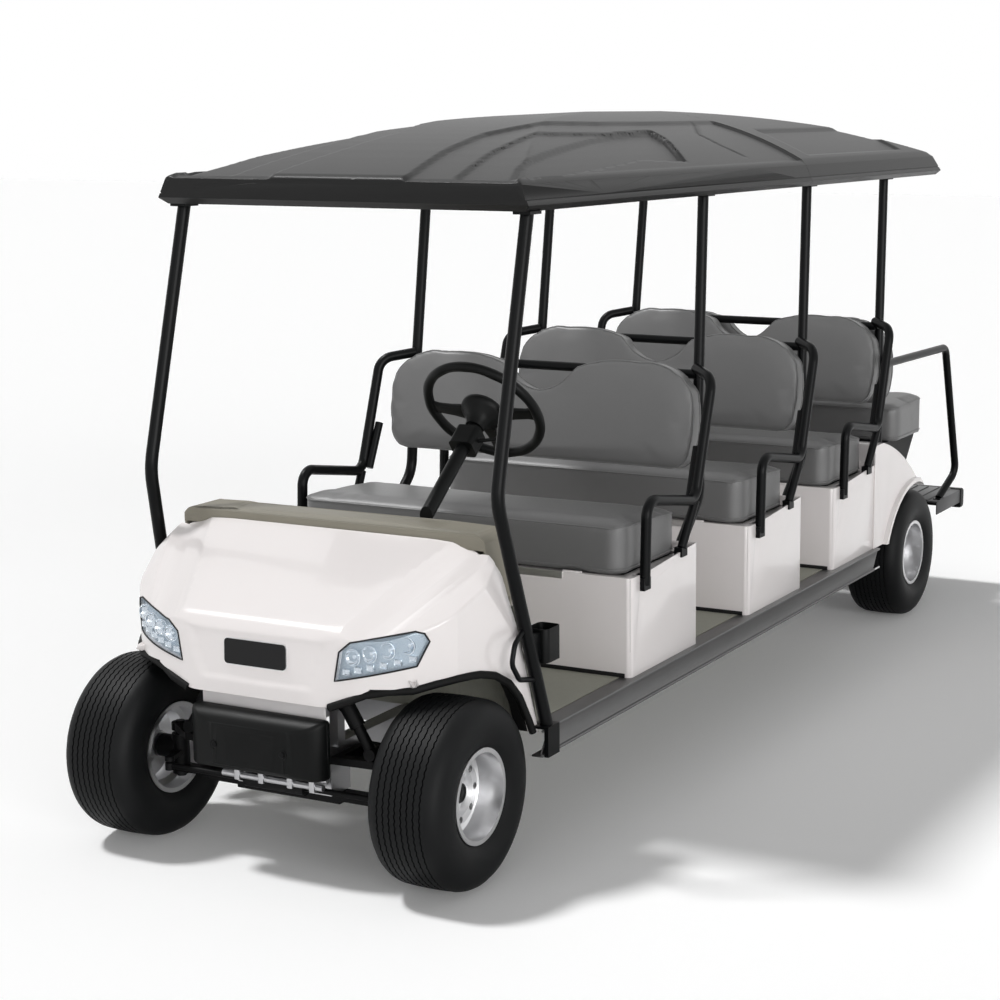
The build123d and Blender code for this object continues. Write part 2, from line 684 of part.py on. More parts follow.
def steering_column():
    """The column tube with its flange on the dash panel, switch box and stalk."""
    axis, foot = column_axis(), Vector(*COLUMN_FOOT)
    top = foot + axis * (COLUMN_REACH - BOSS_DEPTH - SOFT_GAP)
    face_y = DASH_REAR_Y + DASH_PANEL_T
    tube_part = rod(foot, top, COLUMN_R) & block((0, BODY_HALF), (face_y, 3 * face_y), (0, 2 * LIP_Z))
    flange = block(around(foot.X, 48), (face_y, face_y + 10), (foot.Z - 25, foot.Z + 9))
    box_at = foot + axis * (COLUMN_REACH - SWITCH_SETBACK)
    housing = fillet(Box(*SWITCH_BOX).edges().filter_by(Axis.Z), 14)
    switch_box = Plane(box_at, x_dir=(1, 0, 0), z_dir=axis) * housing
    knob = box_at + Vector(*STALK_REACH)
    stalk = rod(box_at + Vector(30, 0, 0), knob, STALK_R) + Pos(*knob) * Sphere(STALK_R + 3)
    return tube_part + flange + switch_box + stalk


def steering_wheel():
    """The wheel: padded rim, three tapered spokes, a conical boss and its shaft."""
    axis = column_axis()
    plane = Plane(Vector(*COLUMN_FOOT) + axis * COLUMN_REACH, x_dir=(1, 0, 0), z_dir=axis)
    profile = loop((0, -BOSS_DEPTH), (26, -BOSS_DEPTH), (34, -50), (58, -18), (58, 2), (30, 14), (0, 16))
    wheel = Torus(WHEEL_RIM_R, WHEEL_GRIP_R) + revolve(Plane.XZ * make_face(profile), Axis.Z)
    spoke = plan_prism(loop((40, -24), (WHEEL_RIM_R, -13), (WHEEL_RIM_R, 13), (40, 24)), (-10, 0))
    for turn in SPOKE_TURNS:
        wheel += Rot(0, 0, turn) * spoke
    return plane * wheel


def foot_pedals():
    """Brake and drive pedals, each a lever from a foot on the floor to a ribbed pad."""
    pedals = []
    thick, high = PEDAL_PAD_SIZE
    for x, half in PEDALS:
        outline = loop((392, FLOOR_Z), (424, FLOOR_Z), (400, 440), (382, 505), (366, 505), (382, 440))
        lever = side_prism(outline, around(x, 10))
        pad = Pos(x, *PEDAL_PAD) * (Rot(-PEDAL_TILT, 0, 0) * Box(2 * half, thick, high))
        pedals.extend((lever + pad).solids())
    return Compound(pedals)


# ---------------------------------------------------------------- lower front
def front_bumper():
    """The moulded bumper: a hollow-backed block with rounded ends and a bowed face."""
    front, rear, half = BUMPER_FRONT_Y, FRONT_FACE_Y, BUMPER_HALF
    low, high = BUMPER_Z
    outline = mirrored([
        ThreePointArc((0, front), (half - 101, front + 3), (half - 35, front + 13)),
        ThreePointArc((half - 35, front + 13), (half - 8, front + 34), (half, rear)),
        Line((half, rear), (0, rear)),
    ])
    profile = [
        Line((rear, low), (front + 30, low)),
        ThreePointArc((front + 30, low), (front + 8, low + 10), (front, low + 36)),
        Line((front, low + 36), (front, high - 64)),
        ThreePointArc((front, high - 64), (front + 15, high - 17), (front + 56, high)),
        Line((front + 56, high), (rear, high)),
        Line((rear, high), (rear, low)),
    ]
    rounded = plan_prism(outline, BUMPER_Z) & side_prism(profile, around(0, half))
    return rounded - block(around(0, half - 45), (rear - 40, rear), (RAIL_TOP_Z + 6, high - BUMPER_WALL))


def lower_front_panel():
    y = (FRONT_FACE_Y + SOFT_GAP, FRONT_FACE_Y + 6)
    return block(around(0, LOWER_PANEL_HALF), y, (RAIL_TOP_Z, COWL_BOTTOM_Z + 2))


# ---------------------------------------------------------------- seats
def hinge_pins(y, z, radius, extra=0):
    """The two hinge pins under a cushion's front edge, or the room around them."""
    half = HINGE_LENGTH / 2 + extra
    return both(rod((HINGE_X - half, y, z), (HINGE_X + half, y, z), radius))


def seat_base(front_y):
    """One bench base: a thin-walled box with a raised rear edge, a flange, rail notches and hinge pins."""
    rear_y = front_y + BASE_DEPTH
    sides = side_prism(loop((front_y, FLOOR_Z), (front_y, BASE_TOP_Z), (front_y + 108, BASE_TOP_Z),
                            (rear_y, BASE_TOP_Z + BASE_REAR_RISE), (rear_y, FLOOR_Z)), around(0, BASE_HALF))
    vertical = sides.edges().filter_by(Axis.Z).sort_by(Axis.Y)[:2]
    walls = fillet(vertical, 18)
    in_x, in_y = BASE_HALF - PANEL_T, (front_y + PANEL_T, rear_y - PANEL_T)
    walls -= block(around(0, in_x), in_y, (FLOOR_Z + PANEL_T, 2 * BASE_TOP_Z))
    flange = block(around(0, in_x + 1), (in_y[0] - 1, in_y[1] + 1), (BASE_TOP_Z - PANEL_T, BASE_TOP_Z))
    flange -= block(around(0, in_x - 40), (in_y[0] + 38, in_y[1] - 38), (0, 2 * BASE_TOP_Z))
    notch_y = around(front_y + RAIL_FOOT_Y, RAIL_FOOT_HALF + 1)
    notch = block((BASE_HALF - 24, 2 * BASE_HALF), notch_y, (NOTCH_Z, 2 * BASE_TOP_Z))
    pins = hinge_pins(front_y + CUSHION_INSET, BASE_TOP_Z + SOFT_GAP, HINGE_R)
    return walls + flange + pins - notch - mirror(notch, about=Plane.YZ)


def cushion(front_y, lift=0, depth=CUSHION_DEPTH):
    """A bench cushion: flat below, its top falling to the rear, rounded in plan, notched for its hinge."""
    low = BASE_TOP_Z + SOFT_GAP + lift
    high = low + CUSHION_T
    y, rear = front_y + CUSHION_INSET, front_y + CUSHION_INSET + depth
    profile = side_prism(loop((y, low), (y, high - 14), (y + 20, high), (rear - 12, high - CUSHION_DROP),
                              (rear, high - CUSHION_DROP - 12), (rear, low)), around(0, CUSHION_HALF))
    plan = RectangleRounded(2 * CUSHION_HALF, depth, CUSHION_CORNER)
    pad = profile & Pos(0, (y + rear) / 2, low) * extrude(plan, 2 * CUSHION_T)
    return pad - hinge_pins(y, low, HINGE_R + HINGE_GAP, HINGE_GAP)


def back_outline():
    """The backrest seen from the front: two humps with a notch between them."""
    side, top, notch = BACK_HALF, BACK_HEIGHT, BACK_NOTCH_HALF
    return mirrored([
        Line((0, 0), (side - 75, 0)),
        ThreePointArc((side - 75, 0), (side - 34, 14), (side - 12, 50)),
        ThreePointArc((side - 12, 50), (side, 145), (side - 8, BACK_SIDE_H)),
        ThreePointArc((side - 8, BACK_SIDE_H), (side - 70, top - 34), (BACK_HUMP_X + 70, top - 3)),
        ThreePointArc((BACK_HUMP_X + 70, top - 3), (BACK_HUMP_X - 40, top - 1), (notch + 35, top - 28)),
        ThreePointArc((notch + 35, top - 28), (notch - 22, top - BACK_NOTCH_DROP + 26),
                      (0, top - BACK_NOTCH_DROP)),
    ])


def back_face(rear_y, z, lean=BACK_LEAN):
    """Where the rear face of a leaning backrest is at one height above its foot."""
    return rear_y + (z - BACK_HEIGHT / 2) * math.tan(math.radians(lean))


def backrest(rear_y, lift=0, thick=BACK_T, lean=BACK_LEAN):
    """A padded backrest, leaning away from its sitter; rear_y is its back face at mid height."""
    pad = extrude(Plane.XZ * make_face(back_outline()), thick)
    return Pos(0, back_face(rear_y, 0, lean), BACK_BOTTOM_Z + lift) * (Rot(-lean, 0, 0) * pad)


def facing_rear(make, y, *options):
    """A seat part built facing the front, turned to face the rear about one Y."""
    return Pos(0, y, 0) * mirror(make(*options), about=Plane.XZ)


# ---------------------------------------------------------------- tube frames
def support_frame(front_y, setback, on_base):
    """One welded frame: hip rails and their legs, the bar behind the backrest and two roof posts."""
    rear_y = front_y + BASE_DEPTH
    bar_z = BACK_BOTTOM_Z + BAR_RISE
    bar_y = back_face(front_y + BACK_REAR, BAR_RISE) + (BAR_R + SOFT_GAP) / math.cos(math.radians(BACK_LEAN))
    foot_y = front_y + RAIL_FOOT_Y
    elbow = (RAIL_X, rear_y - 22, 812)
    route = [(RAIL_X, foot_y, NOTCH_Z + 14), (RAIL_X, foot_y + 12, 868), elbow,
             (RAIL_X, rear_y + 101, bar_z), (POST_TOP_X + 10, bar_y, bar_z + 18)]
    hip = tube(route, RAIL_R, [46, 48, 58])
    foot = block((BASE_HALF - 18, BASE_HALF + 14), around(foot_y, RAIL_FOOT_HALF), (NOTCH_Z, NOTCH_Z + 36))
    leg_y, leg_z = rear_y - 97, BASE_TOP_Z + BASE_REAR_RISE
    leg = rod((BASE_HALF - 4, leg_y, leg_z + 2), elbow, RAIL_R - 2)
    leg_foot = block((BASE_HALF - 20, BASE_HALF + 6), around(leg_y, 20), (BASE_TOP_Z, leg_z + 5))
    inner = rod((RAIL_X - 22, rear_y - 12, 822), (RAIL_X - 26, rear_y + 48, 965), RAIL_R - 3)
    top_y = rear_y + setback
    post_y = top_y - POST_LEAN
    head = [(POST_TOP_X, top_y, ROOF_Z - 5), (POST_TOP_X + 16, post_y, 1090)]
    if on_base:
        lower = [(POST_FOOT_X, post_y - 14, 790), (POST_FOOT_X, rear_y + 10, 640)]
        post = tube([*head, *lower], POST_R, [260, 90])
        flange = block(around(POST_FOOT_X, 26), (rear_y, rear_y + 12), (BASE_TOP_Z - 57, BASE_TOP_Z + 18))
    else:
        post = tube([*head, (POST_FOOT_X, post_y - 26, POST_FOOT_Z)], POST_R, [260]) - rear_form(0)
        flange = block(around(POST_FOOT_X, 28), (post_y - 54, post_y + 2), (POST_FOOT_Z, POST_FOOT_Z + 34))
        flange -= rear_form(0)
    cap = block(around(POST_TOP_X, 28), around(top_y, 28), (ROOF_Z - 8, ROOF_Z))
    tie = block((POST_TOP_X - 4, POST_TOP_X + 22), (bar_y, post_y + 8), (bar_z - 10, bar_z + 12))
    half = hip.fuse(foot, leg, leg_foot, inner, post, flange, cap, tie)
    bar = cross_rod(POST_TOP_X + 12, bar_y, bar_z, BAR_R)
    return half.fuse(mirror(half, about=Plane.YZ), bar) - seat_base(front_y)


def grab_bar():
    """The left bar beside the rear-facing bench, from the last frame down to the step's lower ledge."""
    ledge_z = STEP_Z - STEP_LEDGE_DROP
    foot_x, foot_y = RAIL_X - 31, REAR_END_Y - 285
    route = [(RAIL_X, REAR_WALL_Y + 56, 1045), (RAIL_X, REAR_END_Y - 340, 1034),
             (RAIL_X, REAR_END_Y - 166, 505), (foot_x, foot_y, ledge_z + 4)]
    bar = tube(route, RAIL_R - 1, [48, 56])
    pad = Pos(foot_x, foot_y, ledge_z + 2) * Box(30, 50, 4)
    return bar.fuse(pad) - block((0, BODY_HALF), around(foot_y, 60), (0, ledge_z))


def last_frame():
    """The third row's frame, with the grab bars of the rear-facing bench and the bar behind its back."""
    frame = support_frame(ROW_FRONT_Y[2], POST_SETBACK[2], False)
    bar = grab_bar()
    back_y = REAR_BACK_Y - (BAR_R + SOFT_GAP) / math.cos(math.radians(REAR_BACK_LEAN))
    rest_z = BACK_BOTTOM_Z - REAR_BACK_DROP + BACK_HEIGHT / 2
    return frame.fuse(bar, mirror(bar, about=Plane.YZ), cross_rod(POST_FOOT_X, back_y, rest_z, BAR_R))


def front_strut():
    """The left windscreen strut with its roof cap, sill bracket, loop and cup-holder tab."""
    strut = tube(FRONT_STRUT, STRUT_R, [170])
    top_x, top_y, _ = FRONT_STRUT[0]
    cap = block(around(top_x, 26), around(top_y, 30), (ROOF_Z - 8, ROOF_Z))
    foot_y, foot_z = (272, 336), FRONT_STRUT[-1][2]
    outer_plate = block((BODY_HALF, BODY_HALF + 12), foot_y, (SILL_BOTTOM_Z, foot_z))
    top_plate = block((BODY_HALF - 30, BODY_HALF + 12), foot_y, (FLOOR_Z, foot_z))
    route = [(BODY_HALF - inward, y, z) for inward, y, z in STRUT_LOOP]
    bracket_loop = tube(route, STRUT_LOOP_R, [24, 30, 24])
    tab = block((BODY_HALF - 36, BODY_HALF - 12), (CUP_FRONT_Y - 38, CUP_FRONT_Y), around(CUP_Z, 37))
    return strut.fuse(cap, outer_plate, top_plate, bracket_loop, tab)


def cup_holder():
    """The left cup holder: an open-topped pocket on the strut's tab."""
    width, depth = CUP_SIZE
    place = Pos(BODY_HALF - 24, CUP_FRONT_Y + depth / 2, CUP_Z)
    outer = place * extrude(RectangleRounded(width, depth, 16), CUP_HALF_H, both=True)
    hollow = RectangleRounded(width - 2 * CUP_WALL, depth - 2 * CUP_WALL, 16 - CUP_WALL)
    return outer - Pos(0, 0, CUP_WALL + 1) * (place * extrude(hollow, CUP_HALF_H, both=True))


# ---------------------------------------------------------------- rear body and step
def rear_side():
    front, rear = REAR_BODY_Y, REAR_BODY_END_Y
    return [
        Line((front, FLOOR_Z), (front, DECK_Z)),
        Line((front, DECK_Z), (front + 90, DECK_Z)),
        ThreePointArc((front + 90, DECK_Z), (rear - 215, 650), (rear, 490)),
        Line((rear, 490), (rear, FLOOR_Z)),
        Line((rear, FLOOR_Z), (front, FLOOR_Z)),
    ]


def rear_form(amount):
    half = BASE_HALF + 5 - amount
    return Pos(-half, 0, 0) * extrude(Plane.YZ * inset(rear_side(), amount), 2 * half)


def rear_arch():
    """The rear wheel opening, seen from the side."""
    front, rear, foot_z = REAR_ARCH_FRONT_Y, WHEELBASE + 80, 300
    return [
        Line((front, foot_z), (front, 345)),
        ThreePointArc((front, 345), (WHEELBASE - 240, 506), (WHEELBASE - 60, 545)),
        ThreePointArc((WHEELBASE - 60, 545), (WHEELBASE + 10, 525), (rear, 440)),
        Line((rear, 440), (rear, foot_z)),
        Line((rear, foot_z), (front, foot_z)),
    ]


def rear_body():
    """The rear body: a thin shell over the rear wheels, open below, with flared arches."""
    far = 2 * BODY_HALF
    shell = rear_form(0) - rear_form(PANEL_T) - Pos(0, 0, -2 * PANEL_T) * rear_form(PANEL_T)
    shell -= block(around(0, BASE_HALF), (0, REAR_WALL_Y), (0, 2 * DECK_Z))
    shell += block(around(0, BASE_HALF + 1), (REAR_WALL_Y, REAR_WALL_Y + PANEL_T), (FLOOR_Z, DECK_Z))
    rail_gap = REAR_TRACK_HALF - TYRE_HALF - 20
    shell -= block(around(0, rail_gap), (REAR_BODY_END_Y - 60, 2 * REAR_BODY_END_Y), (0, STEP_Z))
    opening = side_prism(rear_arch(), (rail_gap, far))
    flare_face = offset(make_face(rear_arch()), amount=ARCH_LIP, kind=Kind.INTERSECTION)
    flare = Pos(BASE_HALF - 2, 0, 0) * extrude(Plane.YZ * flare_face, 26)
    flare &= block((0, far), (REAR_ARCH_FRONT_Y - 42, REAR_BODY_END_Y), (FLOOR_Z, 2 * DECK_Z))
    flare &= side_prism(rear_side(), (0, far))
    shell = shell + flare + mirror(flare, about=Plane.YZ)
    return shell - opening - mirror(opening, about=Plane.YZ)


def rear_seat_frame():
    """The black cradle that carries the rear-facing bench over the sloping body, with its hinge pins."""
    low = BASE_TOP_Z + REAR_ROW_RAISE
    back, front = REAR_WALL_Y + 292, REAR_SEAT_Y
    cradle = side_prism(loop((back, low), (front, low), (front - 120, low - 130), (back, low - 130)),
                        around(0, CRADLE_HALF))
    hollow = side_prism(loop((back - 140, low - CRADLE_T), (front - 30, low - CRADLE_T),
                             (front - 130, low - 200), (back - 140, low - 200)), around(0, CRADLE_HALF - 15))
    return cradle - hollow - rear_form(0) + hinge_pins(REAR_SEAT_Y, low + SOFT_GAP, HINGE_R)


def rear_step():
    """The folded step plate for the rear-facing riders, with a lower ledge and an apron at each end."""
    y = (STEP_FRONT_Y, REAR_END_Y - BEAM_DEPTH)
    step_top, ledge_top = STEP_Z, STEP_Z - STEP_LEDGE_DROP
    plate = block(around(0, STEP_HALF - STEP_LEDGE), y, (ledge_top - STEP_T, step_top))
    plate += block(around(0, STEP_HALF), y, (ledge_top - STEP_T, ledge_top))
    for side in (-1, 1):
        end_x = around(side * (STEP_HALF - STEP_T / 2), STEP_T / 2)
        plate += block(end_x, y, (step_top - STEP_APRON, ledge_top))
    return plate


def rear_bumper():
    """The rear bumper beam behind the step."""
    beam = block(around(0, STEP_HALF + 3), (REAR_END_Y - BEAM_DEPTH, REAR_END_Y), (BEAM_BOTTOM_Z, STEP_Z - 2))
    return fillet(beam.edges().filter_by(Axis.X).sort_by(Axis.Y)[-2:], 18)


def rear_axle():
    """The rear axle: tube, gear case and motor, with the two leaf springs' seats."""
    half = REAR_TRACK_HALF
    case = make_face(loop((-40, 0), (-40, 44), (0, 86), (50, 100), (100, 86), (140, 44), (140, 0)))
    axle = Pos(0, WHEELBASE, TYRE_R) * revolve(case, Axis.X)
    axle += cross_rod(half - 96, WHEELBASE, TYRE_R, 32)
    axle += cross_rod(half, WHEELBASE, TYRE_R, HUB_BORE_R - SPINDLE_GAP)
    axle += rod((50, WHEELBASE - 330, TYRE_R), (50, WHEELBASE - 40, TYRE_R), 80)
    seat_z = (SPRING_BOTTOM_Z + 3 * LEAF_T, TYRE_R)
    for side in (-1, 1):
        axle += block(around(side * SPRING_X, 26), around(WHEELBASE, 34), seat_z)
    return axle


def rear_spring():
    """The left rear leaf spring: three flat leaves hung between its two frame hangers."""
    top = SPRING_BOTTOM_Z + 3 * LEAF_T
    leaves = [block(around(SPRING_X, SPRING_HALF_W), around(WHEELBASE, half),
                    (top - LEAF_T * (i + 1), top - LEAF_T * i))
              for i, half in enumerate(SPRING_HALF_LENGTHS)]
    return leaves[0] + leaves[1] + leaves[2]


def battery_pack():
    y = ROW_FRONT_Y[0]
    return block(around(0, 470), (y + 40, y + BASE_DEPTH - 52), (FLOOR_Z + PANEL_T + SOFT_GAP, FLOOR_Z + 265))


# ---------------------------------------------------------------- roof
def roof_side():
    front, rear, eave = ROOF_FRONT_Y, ROOF_REAR_Y, ROOF_Z + ROOF_FASCIA_H
    crown = [(share * rear, z) for share, z in ROOF_CROWN]
    return [
        Line((front + 22, ROOF_Z), (front, ROOF_Z + 18)),
        Line((front, ROOF_Z + 18), (front + 6, eave)),
        ThreePointArc((front + 6, eave), crown[0], crown[1]),
        ThreePointArc(crown[1], crown[2], crown[3]),
        Line(crown[3], (rear - 40, eave)),
        Line((rear - 40, eave), (rear, ROOF_Z + 18)),
        Line((rear, ROOF_Z + 18), (rear - 8, ROOF_Z)),
        Line((rear - 8, ROOF_Z), (front + 22, ROOF_Z)),
    ]


def roof_front_view():
    half, eave = ROOF_HALF, ROOF_Z + ROOF_FASCIA_H
    return mirrored([
        Line((0, ROOF_Z), (half - 18, ROOF_Z)),
        Line((half - 18, ROOF_Z), (half, ROOF_Z + 16)),
        Line((half, ROOF_Z + 16), (half - 30, eave)),
        ThreePointArc((half - 30, eave), (0.59 * half, 1905), (0, ROOF_CROWN_Z)),
    ])


def roof_form(amount):
    side = Pos(-BODY_HALF, 0, 0) * extrude(Plane.YZ * inset(roof_side(), amount), 2 * BODY_HALF)
    across = extrude(Plane.XZ * inset(roof_front_view(), amount), -ROOF_REAR_Y - BODY_HALF)
    return side & across


def roof_window(y, drawn_in, low=0):
    """A tall block over one roof panel, drawn in from all four of its sides."""
    return block(around(0, ROOF_HALF - drawn_in), (y[0] + drawn_in, y[1] - drawn_in), (low, 2 * ROOF_CROWN_Z))


def roof_panels():
    """The two roof mouldings: crowned skins with a gutter around the top and a deep rim for the posts."""
    form, below_gutter, pocket = roof_form(0), roof_form(GUTTER_DEPTH), roof_form(ROOF_SKIN)
    halves = []
    for y in ((ROOF_FRONT_Y, ROOF_SPLIT_Y - SEAM_GAP / 2), (ROOF_SPLIT_Y + SEAM_GAP / 2, ROOF_REAR_Y)):
        piece = form & block(around(0, BODY_HALF), y, (0, 2 * ROOF_CROWN_Z))
        open_below = roof_window(y, ROOF_RIM) - roof_window(y, ROOF_RIM, ROOF_Z + ROOF_SKIN + 1)
        gutter = roof_window(y, GUTTER_INSET, ROOF_Z) - roof_window(y, GUTTER_INSET + GUTTER_WIDTH, ROOF_Z)
        halves.append(piece - (pocket & roof_window(y, ROOF_RIM)) - open_below - (gutter - below_gutter))
    return halves


# ---------------------------------------------------------------- build
save_wheels()
for side, shape in (("left", knuckle()), ("right", mirror(knuckle(), about=Plane.YZ))):
    save(f"knuckle_{side}", shape)
cowl = cowl_outer()
front_roof, rear_roof = roof_panels()
PARTS = {
    "front_leaf_spring": leaf_spring(),
    "front_control_arms": control_arms(),
    "front_shocks": front_shocks(),
    "tie_rod": tie_rod(),
    "steering_rack": steering_rack(),
    "chassis_frame": chassis(),
    "floor_pan": floor_pan(),
    "sills": both(sill()),
    "front_cowl": front_cowl(cowl),
    "headlamps": both(headlamp(cowl)),
    "arch_liners": both(arch_liner()),
    "dashboard": dashboard(),
    "steering_column": steering_column(),
    "steering_wheel": steering_wheel(),
    "foot_pedals": foot_pedals(),
    "front_bumper": front_bumper(),
    "lower_front_panel": lower_front_panel(),
    "battery_pack": battery_pack(),
    "seat_cushion_4": facing_rear(cushion, REAR_SEAT_Y, -CUSHION_INSET, REAR_ROW_RAISE, REAR_SEAT_DEPTH),
    "seat_back_4": facing_rear(backrest, REAR_BACK_Y, 0, -REAR_BACK_DROP, REAR_BACK_T, REAR_BACK_LEAN),
    "support_frame_1": support_frame(ROW_FRONT_Y[0], POST_SETBACK[0], True),
    "support_frame_2": support_frame(ROW_FRONT_Y[1], POST_SETBACK[1], True),
    "support_frame_3": last_frame(),
    "front_struts": both(front_strut()),
    "cup_holders": both(cup_holder()),
    "rear_body": rear_body(),
    "rear_seat_frame": rear_seat_frame(),
    "rear_footrest": rear_step(),
    "rear_bumper": rear_bumper(),
    "rear_axle": rear_axle(),
    "rear_springs": both(rear_spring()),
    "roof_front": front_roof,
    "roof_rear": rear_roof,
}
for name, shape in PARTS.items():
    save(name, shape)
for row, front_y in enumerate(ROW_FRONT_Y, start=1):
    save(f"seat_base_{row}", seat_base(front_y))
    save(f"seat_cushion_{row}", cushion(front_y))
    save(f"seat_back_{row}", backrest(front_y + BACK_REAR))
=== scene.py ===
"""Dresses the golf cart's frame: moulded shells, upholstery, tyres, lamps, trim, paint and a studio."""
import math

import bpy
from bpy.props import FloatProperty, PointerProperty, StringProperty
from mathutils import Matrix, Vector


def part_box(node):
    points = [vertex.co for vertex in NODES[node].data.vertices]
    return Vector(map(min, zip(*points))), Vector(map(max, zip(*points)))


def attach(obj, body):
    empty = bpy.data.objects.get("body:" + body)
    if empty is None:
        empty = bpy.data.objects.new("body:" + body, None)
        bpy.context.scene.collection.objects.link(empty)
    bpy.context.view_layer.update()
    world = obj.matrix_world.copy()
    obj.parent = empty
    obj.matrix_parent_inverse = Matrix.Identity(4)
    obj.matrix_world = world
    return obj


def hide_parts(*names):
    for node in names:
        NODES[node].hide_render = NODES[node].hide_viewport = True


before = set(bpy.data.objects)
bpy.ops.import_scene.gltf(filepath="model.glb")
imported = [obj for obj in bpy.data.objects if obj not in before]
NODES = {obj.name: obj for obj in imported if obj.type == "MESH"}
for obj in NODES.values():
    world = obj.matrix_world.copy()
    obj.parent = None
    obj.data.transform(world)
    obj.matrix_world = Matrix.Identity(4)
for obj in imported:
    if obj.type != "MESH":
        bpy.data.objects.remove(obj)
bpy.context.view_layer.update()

bl_info = {
    "name": "Golf cart",
    "version": (1, 0, 0),
    "blender": (4, 5, 0),
    "location": "View3D > Sidebar > Cart",
    "description": "Builds the visible pieces of an eight-seat golf cart round its frame",
    "category": "Object",
}

MM = 0.001
WHEELS = ("front_left", "front_right", "rear_left", "rear_right")
ROWS = (1, 2, 3, 4)


# ------------------------------------------------------------------------------------ settings
class CartSizes(bpy.types.PropertyGroup):
    """Sizes that a user would change."""
    edge_round: FloatProperty(name="Edge round", description="Radius on the moulded panels' edges",
                              default=0.006, min=0, subtype="DISTANCE", unit="LENGTH")
    rib_depth: FloatProperty(name="Rib depth", description="Depth of the tyre's running grooves",
                             default=0.004, min=0, subtype="DISTANCE", unit="LENGTH")
    puff: FloatProperty(name="Puff", description="How far a cushion's cover may swell",
                        default=0.010, min=0, subtype="DISTANCE", unit="LENGTH")
    seam: FloatProperty(name="Seam", description="Thickness of the piping on a cushion",
                        default=0.005, min=0, subtype="DISTANCE", unit="LENGTH")


class CartColours(bpy.types.PropertyGroup):
    """Colours as sRGB hex values."""
    body: StringProperty(name="Body", description="Pearl white of the moulded body", default="#E2DDDC")
    vinyl: StringProperty(name="Vinyl", description="Grey of the upholstery", default="#686868")
    roof: StringProperty(name="Roof", description="Dark grey of the roof", default="#151515")
    dash: StringProperty(name="Dash", description="Taupe of the dash", default="#817D71")
    mat: StringProperty(name="Mat", description="Greenish taupe of the floor mat", default="#96968B")
    sill: StringProperty(name="Sill", description="Grey of the rocker channel", default="#6A6A6A")
    backdrop: StringProperty(name="Backdrop", description="White of the floor", default="#FFFFFF")


# ------------------------------------------------------------------------------------ colours and nodes
def linear(code):
    """An sRGB hex value as a linear colour."""
    channels = (int(code[i:i + 2], 16) / 255 for i in (1, 3, 5))
    return tuple(c / 12.92 if c <= 0.04045 else ((c + 0.055) / 1.055) ** 2.4 for c in channels) + (1.0,)


def add_node(tree, kind, settings=None, inputs=None):
    """Adds one shader node; an input is a value or the (node, output) that feeds it."""
    node = tree.nodes.new(kind)
    for key, value in (settings or {}).items():
        setattr(node, key, value)
    for key, value in (inputs or {}).items():
        if isinstance(value, tuple) and len(value) == 2 and isinstance(value[0], bpy.types.Node):
            tree.links.new(value[0].outputs[value[1]], node.inputs[key])
        else:
            node.inputs[key].default_value = value
    return node


def new_material(name):
    """An empty node material with its output, object coordinates and shader."""
    material = bpy.data.materials.new(name)
    material.use_nodes = True
    tree = material.node_tree
    tree.nodes.clear()
    output = add_node(tree, "ShaderNodeOutputMaterial")
    shader = add_node(tree, "ShaderNodeBsdfPrincipled")
    tree.links.new(shader.outputs["BSDF"], output.inputs["Surface"])
    coords = add_node(tree, "ShaderNodeTexCoord")
    return material, tree, shader, coords


def tint(tree, coords, code, scale, spread):
    """Links a colour that wanders a little about its hex value, over a pattern of the given scale."""
    noise = add_node(tree, "ShaderNodeTexNoise", inputs={"Vector": (coords, "Object"), "Scale": scale, "Detail": 3.0})
    low = tuple(c * (1 - spread) for c in linear(code)[:3]) + (1.0,)
    high = tuple(min(1, c * (1 + spread)) for c in linear(code)[:3]) + (1.0,)
    return add_node(tree, "ShaderNodeMix", {"data_type": "RGBA"}, {0: (noise, "Fac"), 6: low, 7: high})


def bumped(tree, shader, height, distance, strength=1.0):
    """Links a height pattern to the shader's normal."""
    bump = add_node(tree, "ShaderNodeBump", inputs={"Height": height, "Distance": distance, "Strength": strength})
    tree.links.new(bump.outputs["Normal"], shader.inputs["Normal"])


def set_shader(shader, **values):
    for key, value in values.items():
        shader.inputs[key.replace("_", " ")].default_value = value


def surface(name, code, tone, pattern, depth, strength=1.0, mapping=None, **values):
    """A node material: a tone of (scale, spread) about its hex value, and a pattern pressed in to a depth in metres.

    The pattern is (texture node, output, settings, inputs); mapping turns or stretches the place it is read at."""
    material, tree, shader, coords = new_material(name)
    set_shader(shader, **values)
    colour = tint(tree, coords, code, *tone)
    tree.links.new(colour.outputs[2], shader.inputs["Base Color"])
    place = (coords, "Object")
    if mapping:
        place = (add_node(tree, "ShaderNodeMapping", inputs={"Vector": place, **mapping}), "Vector")
    kind, output, settings, inputs = pattern
    texture = add_node(tree, "ShaderNodeTex" + kind, settings, {"Vector": place, **inputs})
    bumped(tree, shader, (texture, output), depth, strength)
    return material


def grained_plastic(name, code, roughness, grain_mm, depth_mm=0.12, gloss=0.5):
    """Moulded ABS or polypropylene: a leather-like grain that breaks up the highlights."""
    return surface(name, code, (6.0, 0.06), ("Voronoi", "Distance", {}, {"Scale": 1000 / grain_mm}), depth_mm * MM,
                   Roughness=roughness, IOR=1.49, Specular_IOR_Level=gloss)


def coated_steel(name, code, roughness=0.32):
    """Powder-coated steel: an even black film with a fine ripple about 2 mm across."""
    return surface(name, code, (12.0, 0.08), ("Noise", "Fac", {}, {"Scale": 500.0, "Detail": 1.0}), 0.00008,
                   Roughness=roughness, IOR=1.5, Specular_IOR_Level=0.11)


